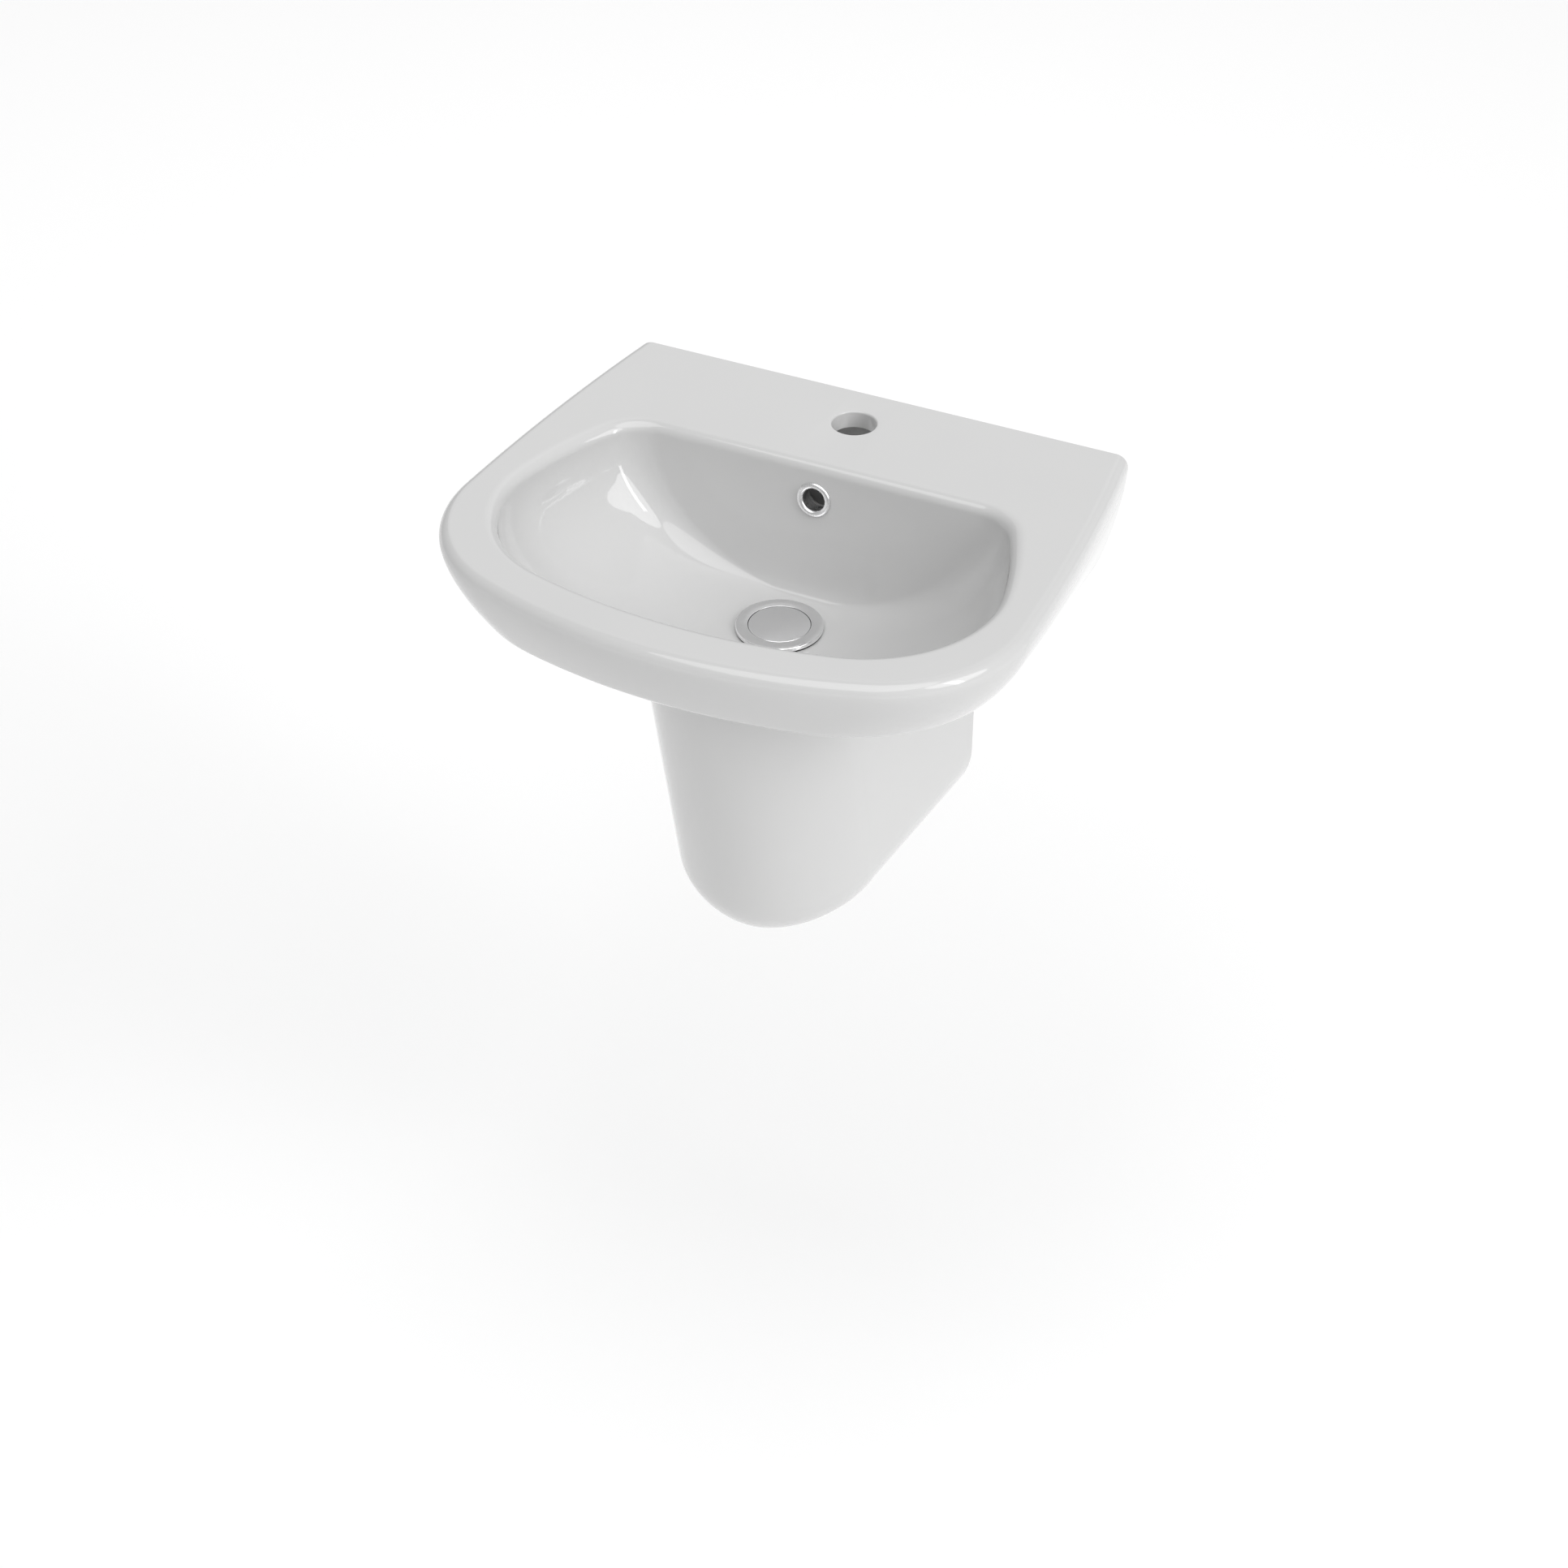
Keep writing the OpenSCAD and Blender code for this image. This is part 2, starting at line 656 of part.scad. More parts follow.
module trap_cup() {
    wall = 3;
    color(white_plastic)
    at_waste()
    difference() {
        union() {
            turned([[0, cup_low], [bottle_r - 8, cup_low], [bottle_r - 1, cup_low + 7],
                    [bottle_r - 1, bottle_low - 2.4], [0, bottle_low - 2.4]]);
            for (a = [0:30:330])
                rotate(a)
                translate([bottle_r - 1.6, -1.5, cup_low + 10])
                cube([2, 3, bottle_low - cup_low - 20]);
        }
        turned([[0, cup_low + wall], [bottle_r - 9, cup_low + wall], [bottle_r - 4.5, cup_low + 8],
                [bottle_r - 4.5, bottle_low - 16], [bottle_r - 3.9, bottle_low - 15],
                [bottle_r - 3.9, bottle_low], [0, bottle_low]]);
    }
}

// Turns a piece built along +Z so that it runs from the end of the branch towards the wall
module at_branch() {
    translate([0, branch_end - waste_y, outlet_z])
    rotate([-90, 0, 0])
    children();
}

module outlet_seal() {
    color(black_rubber)
    at_branch()
    ring_of(pipe_r + 0.05, branch_r - 0.4, 0, 3);
}

module outlet_nut() {
    color(white_plastic)
    at_branch()
    ribbed_nut(branch_r + 0.15, 24, -12, 6, pipe_r + 0.5, 3, 6);
}

// The ring groove marks how far the pipe goes into the wall
module outlet_pipe() {
    wall = waste_y - branch_end;
    color(white_plastic)
    at_branch()
    turned([[pipe_r - 1.8, 0.2], [pipe_r, 0.2], [pipe_r, wall - 1], [pipe_r - 0.3, wall - 1],
            [pipe_r - 0.3, wall], [pipe_r, wall], [pipe_r, wall + pipe_in_wall],
            [pipe_r - 1.8, wall + pipe_in_wall]]);
}

// ---- Fixings --------------------------------------------------------------------------------
bolt_step = 0.2;                        // the nut end of a hanger bolt is thinner than its wall end

// A hanger bolt along +Z: a cone point and a thicker shank in the wall, a bevelled end at the nut
module hanger_bolt(r, in_wall, in_room) {
    room_r = r - bolt_step;
    turned([[0, -in_wall], [r * 0.3, -in_wall], [r, -in_wall + 2.5 * r], [r, 0], [room_r, 0],
            [room_r, in_room - 1], [room_r - 1, in_room], [0, in_room]]);
}

module basin_studs() {
    color(steel)
    at_studs()
    hanger_bolt(stud_d / 2, 70, 36);
}

module basin_bushes() {
    color(white_plastic)
    at_studs()
    turned([[stud_d / 2 + 0.1, 1], [stud_hole_r - 0.1, 1], [stud_hole_r - 0.1, back_wall],
            [14, back_wall], [14, back_wall + 3], [stud_d / 2 + 0.1, back_wall + 3]]);
}

module basin_washers() {
    color(steel)
    at_studs()
    ring_of(stud_d / 2 + 0.2, 13, back_wall + 3, back_wall + 5);
}

module basin_nuts() {
    color(steel)
    at_studs()
    hex_nut(stud_d / 2 - bolt_step + 0.05, 16, back_wall + 5, back_wall + 13);
}

module pedestal_studs() {
    color(steel)
    at_lugs()
    hanger_bolt(4, 55, 25);
}

module pedestal_washers() {
    color(steel)
    at_lugs()
    ring_of(4.2, 10, lug_t, lug_t + 1.6);
}

module pedestal_nuts() {
    color(steel)
    at_lugs()
    hex_nut(4.05 - bolt_step, 13, lug_t + 1.6, lug_t + 8.1);
}

basin();
semi_pedestal();
overflow_ring();
waste_body();
waste_plug();
plug_spindle();
plug_seal();
cartridge_sleeve();
cartridge_spring();
waste_top_seal();
waste_lower_seal();
waste_backnut();
union_nut();
union_seal();
inlet_tube();
head_nut();
head_seal();
trap_body();
trap_cup_seal();
trap_cup();
outlet_seal();
outlet_nut();
outlet_pipe();
basin_studs();
basin_bushes();
basin_washers();
basin_nuts();
pedestal_studs();
pedestal_washers();
pedestal_nuts();
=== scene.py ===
import json
import math

import bpy
import bmesh
import numpy as np
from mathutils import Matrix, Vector


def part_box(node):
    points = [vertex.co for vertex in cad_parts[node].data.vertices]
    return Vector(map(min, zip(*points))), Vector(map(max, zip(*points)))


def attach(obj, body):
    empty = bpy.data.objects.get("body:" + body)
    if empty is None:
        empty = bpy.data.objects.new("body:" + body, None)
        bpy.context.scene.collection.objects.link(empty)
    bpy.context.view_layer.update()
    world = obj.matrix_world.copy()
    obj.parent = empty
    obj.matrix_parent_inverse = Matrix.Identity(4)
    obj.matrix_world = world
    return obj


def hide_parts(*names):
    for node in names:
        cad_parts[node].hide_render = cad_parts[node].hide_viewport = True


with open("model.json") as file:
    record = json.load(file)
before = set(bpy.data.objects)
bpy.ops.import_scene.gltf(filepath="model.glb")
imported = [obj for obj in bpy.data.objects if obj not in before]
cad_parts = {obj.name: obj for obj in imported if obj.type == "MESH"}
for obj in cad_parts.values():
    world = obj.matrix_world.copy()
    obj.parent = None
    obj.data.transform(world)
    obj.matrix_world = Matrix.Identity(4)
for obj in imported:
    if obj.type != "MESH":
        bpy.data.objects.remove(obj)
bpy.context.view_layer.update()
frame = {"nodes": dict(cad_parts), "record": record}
mm = 0.001
print("frame loaded:", len(frame["nodes"]), "nodes")


# ---- shared shader groups ----

def newGroup(name, kind, inputs, outputs):
    tree = bpy.data.node_groups.new(name, kind)
    for label, socketType, value in inputs:
        socket = tree.interface.new_socket(label, in_out="INPUT", socket_type=socketType)
        if value is not None:
            socket.default_value = value
    for label, socketType in outputs:
        tree.interface.new_socket(label, in_out="OUTPUT", socket_type=socketType)
    start = tree.nodes.new("NodeGroupInput")
    end = tree.nodes.new("NodeGroupOutput")
    return tree, start, end


def addNode(tree, kind, links=None, **settings):
    node = tree.nodes.new(kind)
    for key, value in settings.items():
        setattr(node, key, value)
    for key, value in (links or {}).items():
        socket = node.inputs[key]
        if isinstance(value, bpy.types.NodeSocket):
            tree.links.new(value, socket)
        else:
            socket.default_value = value
    return node


def mixColour(tree, fac, first, second):
    node = tree.nodes.new("ShaderNodeMix")
    node.data_type = "RGBA"
    for socket, value in ((node.inputs[0], fac), (node.inputs[6], first), (node.inputs[7], second)):
        if isinstance(value, bpy.types.NodeSocket):
            tree.links.new(value, socket)
        else:
            socket.default_value = value
    return node.outputs[2]


def mapRange(tree, value, low, high, toLow, toHigh):
    return addNode(tree, "ShaderNodeMapRange",
                   {0: value, 1: low, 2: high, 3: toLow, 4: toHigh}).outputs[0]


def softVariation():
    # slow waves and fine grain over a moulded, cast or polished surface
    tree, start, end = newGroup(
        "softVariation", "ShaderNodeTree",
        [("Wave Size", "NodeSocketFloat", 0.06), ("Grain Size", "NodeSocketFloat", 0.002),
         ("Low", "NodeSocketFloat", 0.1), ("High", "NodeSocketFloat", 0.2)],
        [("Waves", "NodeSocketFloat"), ("Grain", "NodeSocketFloat"), ("Roughness", "NodeSocketFloat")])
    where = addNode(tree, "ShaderNodeTexCoord").outputs["Object"]
    waveScale = addNode(tree, "ShaderNodeMath", {0: 1.0, 1: start.outputs["Wave Size"]}, operation="DIVIDE")
    grainScale = addNode(tree, "ShaderNodeMath", {0: 1.0, 1: start.outputs["Grain Size"]}, operation="DIVIDE")
    waves = addNode(tree, "ShaderNodeTexNoise",
                    {"Vector": where, "Scale": waveScale.outputs[0], "Detail": 1.5, "Roughness": 0.4})
    grain = addNode(tree, "ShaderNodeTexNoise",
                    {"Vector": where, "Scale": grainScale.outputs[0], "Detail": 4.0, "Roughness": 0.55})
    both = addNode(tree, "ShaderNodeMath", {0: waves.outputs[0], 1: grain.outputs[0]}, operation="ADD")
    rough = addNode(tree, "ShaderNodeMapRange", {0: both.outputs[0], 1: 0.6, 2: 1.4,
                                                 3: start.outputs["Low"], 4: start.outputs["High"]})
    tree.links.new(waves.outputs[0], end.inputs["Waves"])
    tree.links.new(grain.outputs[0], end.inputs["Grain"])
    tree.links.new(rough.outputs[0], end.inputs["Roughness"])
    return tree


def turnedMarksAndSheen():
    # fine rings left by a lathe round the piece's own axis, and a painted highlight: rays lighter on two opposite
    # sides, standing in for the sheen of spun metal
    tree, start, end = newGroup(
        "turnedMarksAndSheen", "ShaderNodeTree",
        [("Centre", "NodeSocketVector", None), ("Ring Spacing", "NodeSocketFloat", 0.0006)],
        [("Rings", "NodeSocketFloat"), ("Rays", "NodeSocketFloat")])
    where = addNode(tree, "ShaderNodeTexCoord").outputs["Object"]
    local = addNode(tree, "ShaderNodeVectorMath", {0: where, 1: start.outputs["Centre"]},
                    operation="SUBTRACT")
    parts = addNode(tree, "ShaderNodeSeparateXYZ", {0: local.outputs[0]})
    flat = addNode(tree, "ShaderNodeCombineXYZ", {0: parts.outputs[0], 1: parts.outputs[1]})
    reach = addNode(tree, "ShaderNodeVectorMath", {0: flat.outputs[0]}, operation="LENGTH")
    steps = addNode(tree, "ShaderNodeMath", {0: reach.outputs["Value"], 1: start.outputs["Ring Spacing"]},
                    operation="DIVIDE")
    rings = addNode(tree, "ShaderNodeTexNoise", {"W": steps.outputs[0], "Scale": 1.0, "Detail": 2.0},
                    noise_dimensions="1D")
    # painted highlight: cosine of twice the angle round the axis, lighter on two opposite sides
    angle = addNode(tree, "ShaderNodeMath", {0: parts.outputs[1], 1: parts.outputs[0]}, operation="ARCTAN2")
    sheenAngle = addNode(tree, "ShaderNodeMath", {0: angle.outputs[0], 1: 2.0}, operation="MULTIPLY")
    sheenWave = addNode(tree, "ShaderNodeMath", {0: sheenAngle.outputs[0]}, operation="COSINE")
    tree.links.new(rings.outputs[0], end.inputs["Rings"])
    tree.links.new(sheenWave.outputs[0], end.inputs["Rays"])
    return tree


def lighterEdges():
    # how far a point is from the middle of its flat, from the soft normal near edges, for a lighter colour on convex
    # edges
    tree, start, end = newGroup("lighterEdges", "ShaderNodeTree", [("Reach", "NodeSocketFloat", 0.8)],
                                [("Mask", "NodeSocketFloat")])
    shape = addNode(tree, "ShaderNodeNewGeometry")
    mask = addNode(tree, "ShaderNodeMapRange", {0: shape.outputs["Pointiness"], 1: 0.52, 2: 0.62, 3: 0.0,
                                                4: start.outputs["Reach"]})
    tree.links.new(mask.outputs[0], end.inputs["Mask"])
    return tree


variationGroup = softVariation()
turnedAndSheenGroup = turnedMarksAndSheen()
lighterEdgeGroup = lighterEdges()


def useGroup(tree, group, **values):
    node = tree.nodes.new("ShaderNodeGroup")
    node.node_tree = group
    for key, value in values.items():
        socket = node.inputs[key.replace("_", " ")]
        if isinstance(value, bpy.types.NodeSocket):
            tree.links.new(value, socket)
        else:
            socket.default_value = value
    return node


def startMaterial(name):
    material = bpy.data.materials.new(name)
    material.use_nodes = True
    tree = material.node_tree
    return material, tree, tree.nodes["Principled BSDF"]


def addBump(tree, shader, height, strength, distance, normal=None):
    bump = addNode(tree, "ShaderNodeBump", {"Strength": strength, "Distance": distance, "Height": height})
    if normal is not None:
        tree.links.new(normal, bump.inputs["Normal"])
    tree.links.new(bump.outputs[0], shader.inputs["Normal"])
    return bump.outputs[0]


# ---- materials ----

glazeLook = {"base": (0.61, 0.61, 0.608, 1), "shade": (0.59, 0.59, 0.59, 1), "low": 0.03, "high": 0.07,
             "waveSize": 0.09, "grainSize": 0.004, "waveDepth": 0.0004}


def makeGlaze():
    # white glaze: a clear coat over a slightly uneven white body
    material, tree, shader = startMaterial("glazedCeramic")
    look = useGroup(tree, variationGroup, Wave_Size=glazeLook["waveSize"], Grain_Size=glazeLook["grainSize"],
                    Low=glazeLook["low"], High=glazeLook["high"])
    tone = mixColour(tree, look.outputs["Waves"], glazeLook["base"], glazeLook["shade"])
    tree.links.new(tone, shader.inputs["Base Color"])
    tree.links.new(look.outputs["Roughness"], shader.inputs["Roughness"])
    shader.inputs["IOR"].default_value = 1.52
    shader.inputs["Coat Weight"].default_value = 0.25
    shader.inputs["Coat Roughness"].default_value = 0.03
    addBump(tree, shader, look.outputs["Waves"], 0.12, glazeLook["waveDepth"])
    return material


def makeMetal(name, base, dark, low, high, ringSpacing=0.0005, ringDepth=0.00001, sheenStreakTone=0.0,
              centre=(0, 0, 0)):
    material, tree, shader = startMaterial(name)
    look = useGroup(tree, variationGroup, Wave_Size=0.02, Grain_Size=0.0008, Low=low, High=high)
    marksAndSheen = useGroup(tree, turnedAndSheenGroup, Centre=centre, Ring_Spacing=ringSpacing)
    edgeLift = useGroup(tree, lighterEdgeGroup, Reach=0.5)
    tone = mixColour(tree, look.outputs["Waves"], base, dark)
    # painted highlight: two opposite wedges of the colour mixed towards white, standing in for the sheen of spun metal
    if sheenStreakTone:
        sheenShare = mapRange(tree, marksAndSheen.outputs["Rays"], -1.0, 1.0, 0.0, sheenStreakTone)
        tone = mixColour(tree, sheenShare, tone, (1, 1, 1, 1))
    # convex edges made lighter in colour
    bright = tuple(min(1.0, part * 1.12) for part in base[:3]) + (1,)
    tone = mixColour(tree, edgeLift.outputs["Mask"], tone, bright)
    tree.links.new(tone, shader.inputs["Base Color"])
    tree.links.new(look.outputs["Roughness"], shader.inputs["Roughness"])
    shader.inputs["Metallic"].default_value = 1.0
    addBump(tree, shader, marksAndSheen.outputs["Rings"], 0.25, ringDepth)
    return material


def makePlastic():
    material, tree, shader = startMaterial("whitePlastic")
    look = useGroup(tree, variationGroup, Wave_Size=0.03, Grain_Size=0.0006, Low=0.32, High=0.45)
    edgeLift = useGroup(tree, lighterEdgeGroup, Reach=0.3)
    tone = mixColour(tree, look.outputs["Waves"], (0.80, 0.80, 0.785, 1), (0.74, 0.74, 0.725, 1))
    # convex edges made lighter in colour
    tone = mixColour(tree, edgeLift.outputs["Mask"], tone, (0.88, 0.88, 0.87, 1))
    tree.links.new(tone, shader.inputs["Base Color"])
    tree.links.new(look.outputs["Roughness"], shader.inputs["Roughness"])
    shader.inputs["Subsurface Weight"].default_value = 0.05
    addBump(tree, shader, look.outputs["Grain"], 0.2, 0.00008)
    return material


def makeRubber():
    material, tree, shader = startMaterial("blackRubber")
    look = useGroup(tree, variationGroup, Wave_Size=0.01, Grain_Size=0.0005, Low=0.55, High=0.75)
    tone = mixColour(tree, look.outputs["Grain"], (0.022, 0.022, 0.023, 1), (0.045, 0.045, 0.047, 1))
    tree.links.new(tone, shader.inputs["Base Color"])
    tree.links.new(look.outputs["Roughness"], shader.inputs["Roughness"])
    addBump(tree, shader, look.outputs["Grain"], 0.3, 0.0001)
    return material


def middle(node):
    low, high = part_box(node)
    return (Vector(low) + Vector(high)) / 2


wastePlace = middle("waste_body")
glazedCeramic = makeGlaze()
# the plug's turned face carries painted highlight wedges in its colour
plugChrome = makeMetal("plugChrome", (0.88, 0.88, 0.885, 1), (0.84, 0.84, 0.85, 1), 0.16, 0.24,
                       ringDepth=0.000006, sheenStreakTone=0.12, centre=(wastePlace.x, wastePlace.y, 0))
polishedChrome = makeMetal("polishedChrome", (0.92, 0.92, 0.925, 1), (0.88, 0.88, 0.885, 1), 0.10, 0.16,
                           centre=(wastePlace.x, wastePlace.y, 0))
satinChrome = makeMetal("satinChrome", (0.92, 0.92, 0.925, 1), (0.88, 0.88, 0.885, 1), 0.24, 0.32)
turnedBrass = makeMetal("turnedBrass", (0.62, 0.44, 0.17, 1), (0.52, 0.36, 0.13, 1), 0.22, 0.34,
                        ringDepth=0.00003, centre=(wastePlace.x, wastePlace.y, 0))
zincSteel = makeMetal("zincSteel", (0.55, 0.56, 0.57, 1), (0.44, 0.45, 0.47, 1), 0.28, 0.42)
whitePlastic = makePlastic()
blackRubber = makeRubber()
finishes = {"glazed_ceramic": glazedCeramic, "chrome": polishedChrome, "brass": turnedBrass,
            "steel": zincSteel, "white_plastic": whitePlastic, "black_rubber": blackRubber}
slotOf = {row["node"]: row["material_slot"] for row in frame["record"]["subparts"]}
for nodeName, nodeObject in frame["nodes"].items():
    for slot in nodeObject.material_slots:
        slot.material = finishes[slotOf[nodeName]]
print("materials made:", len(finishes) + 1)


# ---- mesh helpers ----

def bodyOf(node):
    for body, names in frame["record"]["behaviour"]["bodies"].items():
        if node in names:
            return body


def placeObject(name, mesh, material):
    piece = bpy.data.objects.new(name, mesh)
    bpy.context.scene.collection.objects.link(piece)
    mesh.materials.clear()
    mesh.materials.append(material)
    return piece


def softShading(mesh, angle=35):
    for face in mesh.polygons:
        face.use_smooth = True
    mesh.set_sharp_from_angle(angle=math.radians(angle))


def finishPiece(piece, node, angle=35):
    # doubles merged, faces turned outwards, then the piece stands for its node
    shape = bmesh.new()
    shape.from_mesh(piece.data)
    bmesh.ops.remove_doubles(shape, verts=shape.verts, dist=1e-7)
    bmesh.ops.recalc_face_normals(shape, faces=shape.faces)
    shape.to_mesh(piece.data)
    shape.free()
    softShading(piece.data, angle)
    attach(piece, bodyOf(node))
    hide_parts(node)
    return piece


def meshFrom(name, points, faces):
    mesh = bpy.data.meshes.new(name)
    mesh.from_pydata([tuple(p) for p in points], [], [tuple(int(i) for i in f) for f in faces])
    mesh.update()
    return mesh


def softenedCorners(profile, reach, steps=3):
    # rounds each corner of a closed profile, keeping those on the axis
    count = len(profile)
    out = []
    for i, corner in enumerate(profile):
        before, after = np.array(profile[i - 1], float), np.array(profile[(i + 1) % count], float)
        here = np.array(corner, float)
        if here[0] < 1e-6 or reach <= 0:
            out.append(tuple(here))
            continue
        back, ahead = before - here, after - here
        size = min(reach, np.linalg.norm(back) * 0.4, np.linalg.norm(ahead) * 0.4)
        first = here + back / np.linalg.norm(back) * size
        last = here + ahead / np.linalg.norm(ahead) * size
        for k in range(steps + 1):
            t = k / steps
            out.append(tuple((1 - t) ** 2 * first + 2 * t * (1 - t) * here + t * t * last))
    return out


def latheMesh(name, profile, reach=0.4, around=96):
    # profile of (radius, height) in millimetres, turned about the upright axis
    rounded = softenedCorners(profile, reach)
    points, rows = [], []
    for radius, height in rounded:
        if radius < 1e-6:
            rows.append([len(points)] * around)
            points.append((0, 0, height * mm))
        else:
            rows.append(list(range(len(points), len(points) + around)))
            for k in range(around):
                angle = 2 * math.pi * k / around
                points.append((radius * mm * math.cos(angle), radius * mm * math.sin(angle), height * mm))
    faces = []
    for i in range(len(rows)):
        lower, upper = rows[i], rows[(i + 1) % len(rows)]
        if rounded[i][0] < 1e-6 and rounded[(i + 1) % len(rows)][0] < 1e-6:
            continue
        for k in range(around):
            j = (k + 1) % around
            corners = [lower[k], lower[j], upper[j], upper[k]]
            faces.append(list(dict.fromkeys(corners)))
    return meshFrom(name, points, faces)


def shifted(mesh, place):
    for vertex in mesh.vertices:
        vertex.co += Vector(place)
    return mesh


def bakedObject(piece):
    # modifiers made real
    seen = bpy.context.evaluated_depsgraph_get()
    seen.update()
    mesh = bpy.data.meshes.new_from_object(piece.evaluated_get(seen))
    old = piece.data
    piece.modifiers.clear()
    piece.data = mesh
    bpy.data.meshes.remove(old)
    return piece


def combine(target, cutters, operation="DIFFERENCE"):
    for cutter in cutters:
        step = target.modifiers.new("combine", "BOOLEAN")
        step.operation = operation
        step.solver = "EXACT"
        step.object = cutter
        bakedObject(target)
        bpy.data.objects.remove(cutter)
    return target


def scratchObject(mesh):
    piece = bpy.data.objects.new(mesh.name, mesh)
    bpy.context.scene.collection.objects.link(piece)
    shape = bmesh.new()
    shape.from_mesh(mesh)
    bmesh.ops.remove_doubles(shape, verts=shape.verts, dist=1e-7)
    bmesh.ops.recalc_face_normals(shape, faces=shape.faces)
    shape.to_mesh(mesh)
    shape.free()
    return piece


def boxMesh(name, low, high):
    points = [(x * mm, y * mm, z * mm) for x in (low[0], high[0]) for y in (low[1], high[1])
              for z in (low[2], high[2])]
    faces = [(0, 1, 3, 2), (4, 6, 7, 5), (0, 4, 5, 1), (2, 3, 7, 6), (0, 2, 6, 4), (1, 5, 7, 3)]
    return meshFrom(name, points, faces)


def alongX(name, section, fromX, toX):
    count = len(section)
    points = [(x * mm, y * mm, z * mm) for x in (fromX, toX) for y, z in section]
    faces = [list(range(count)), list(range(2 * count - 1, count - 1, -1))]
    faces += [[i, (i + 1) % count, count + (i + 1) % count, count + i] for i in range(count)]
    return meshFrom(name, points, faces)


# ---- basin ----

basinShape = {"width": 462, "backWidth": 420, "depth": 389, "widestY": 292, "cornerR": 118, "frontR": 450,
              "edgeR": 9, "deckZ": 65, "sideDrop": 100, "apronDrop": 49, "lowerBow": 1.2, "backLean": 18,
              "sideLean": 26, "apronLean": 12, "cornerEase": 5, "bellyFullness": 1.75}
bowlShape = {"width": 415, "backWidth": 331, "backY": 106, "frontY": 355, "widestY": 272, "cornerR": 111,
             "frontR": 470, "backR": 46, "depth": 111, "fullness": 1.12, "mouthR": 9, "creaseY": 127}
fittings = {"wasteY": 178, "tapY": 45, "tapR": 17.5, "seatR": 41, "wasteR": 22.5, "sinkR": 30, "sinkDepth": 8,
            "overflowDrop": 29, "overflowR": 11.5, "studX": 140, "studHoleR": 7}
ringSteps = {"back": 10, "backCorner": 12, "side": 26, "corner": 30, "front": 24}
floorZ = basinShape["deckZ"] - bowlShape["depth"]
bossZ = floorZ - 17


def arcPoints(centre, radius, fromA, toA, steps):
    angles = fromA + (toA - fromA) * np.arange(1, steps + 1) / steps
    return np.stack([centre[0] + radius * np.cos(angles), centre[1] + radius * np.sin(angles)], 1)


def planRing(plan):
    # closed outline: straight back, back corners, bowed sides, front corners, bowed front
    half, widest, back, front, cornerR, frontR, backY, backR = plan
    rise, run = half - back, widest - backY
    sideR = (run * run + rise * rise) / (2 * rise)
    sideC = np.array([half - sideR, -widest])
    backRun = math.sqrt((sideR - backR) ** 2 - (widest - backY - backR) ** 2)
    backC = np.array([sideC[0] + backRun, -backY - backR])
    frontC = np.array([0.0, frontR - front])
    toSide, toFront = sideR - cornerR, frontR - cornerR
    gap = frontC - sideC
    span = np.linalg.norm(gap)
    along = (toSide ** 2 - toFront ** 2 + span ** 2) / (2 * span)
    across = math.sqrt(toSide ** 2 - along ** 2)
    unit = gap / span
    cornerC = sideC + unit * along + np.array([unit[1], -unit[0]]) * across * (1 if gap[1] > 0 else -1)
    aBack = math.atan2(*(backC - sideC)[::-1])
    aSide = math.atan2(*(cornerC - sideC)[::-1])
    aCorner = math.atan2(*(cornerC - frontC)[::-1])
    steps = ringSteps
    halfRing = np.concatenate([
        np.stack([backC[0] * np.arange(steps["back"] + 1) / steps["back"],
                  np.full(steps["back"] + 1, -backY)], 1),
        arcPoints(backC, backR, math.pi / 2, aBack, steps["backCorner"]),
        arcPoints(sideC, sideR, aBack, aSide, steps["side"]),
        arcPoints(cornerC, cornerR, aSide, aCorner, steps["corner"]),
        arcPoints(frontC, frontR, aCorner, -math.pi / 2, steps["front"])])
    mirrored = halfRing[-2:0:-1] * np.array([-1, 1])
    return np.concatenate([halfRing, mirrored])


def ringAt(ring, z):
    z = np.broadcast_to(z, (len(ring),))
    return np.column_stack([ring, z])


def grown(plan, reach):
    return plan + np.array([1, 0, 1, 1, 1, 1, 0, 0]) * reach


def shrunk(plan, reach):
    return plan + np.array([-1, 0, -1, -1, -1, -1, 1, -1]) * reach


b, w, f = basinShape, bowlShape, fittings
deckPlan = np.array([b["width"] / 2 - b["edgeR"], b["widestY"], b["backWidth"] / 2 - b["edgeR"],
                     b["depth"] - b["edgeR"], b["cornerR"] - b["edgeR"], b["frontR"] - b["edgeR"], 0, 2], float)
rimPlan = grown(deckPlan, b["edgeR"])
mouthPlan = np.array([w["width"] / 2, w["widestY"], w["backWidth"] / 2, w["frontY"], w["cornerR"], w["frontR"],
                      w["backY"], w["backR"]], float)
seatPlan = np.array([f["seatR"], f["wasteY"], f["seatR"] - 0.4, f["wasteY"] + f["seatR"], f["seatR"] - 0.5,
                     f["seatR"] + 0.5, f["wasteY"] - f["seatR"], f["seatR"] * 0.9])
bossPlan = np.array([f["seatR"] + 8, f["wasteY"], f["seatR"] + 4, f["wasteY"] + f["seatR"] + 8, f["seatR"] + 7,
                     f["seatR"] + 9, 0, 2], float)
leanPlan = np.array([b["sideLean"], 0, b["backLean"], b["apronLean"], -b["cornerEase"], b["apronLean"],
                     0, 0], float)


def lowerEdge(y):
    rest = np.maximum(0, 1 + y / b["depth"]) ** b["lowerBow"]
    return b["deckZ"] - b["apronDrop"] - (b["sideDrop"] - b["apronDrop"]) * rest


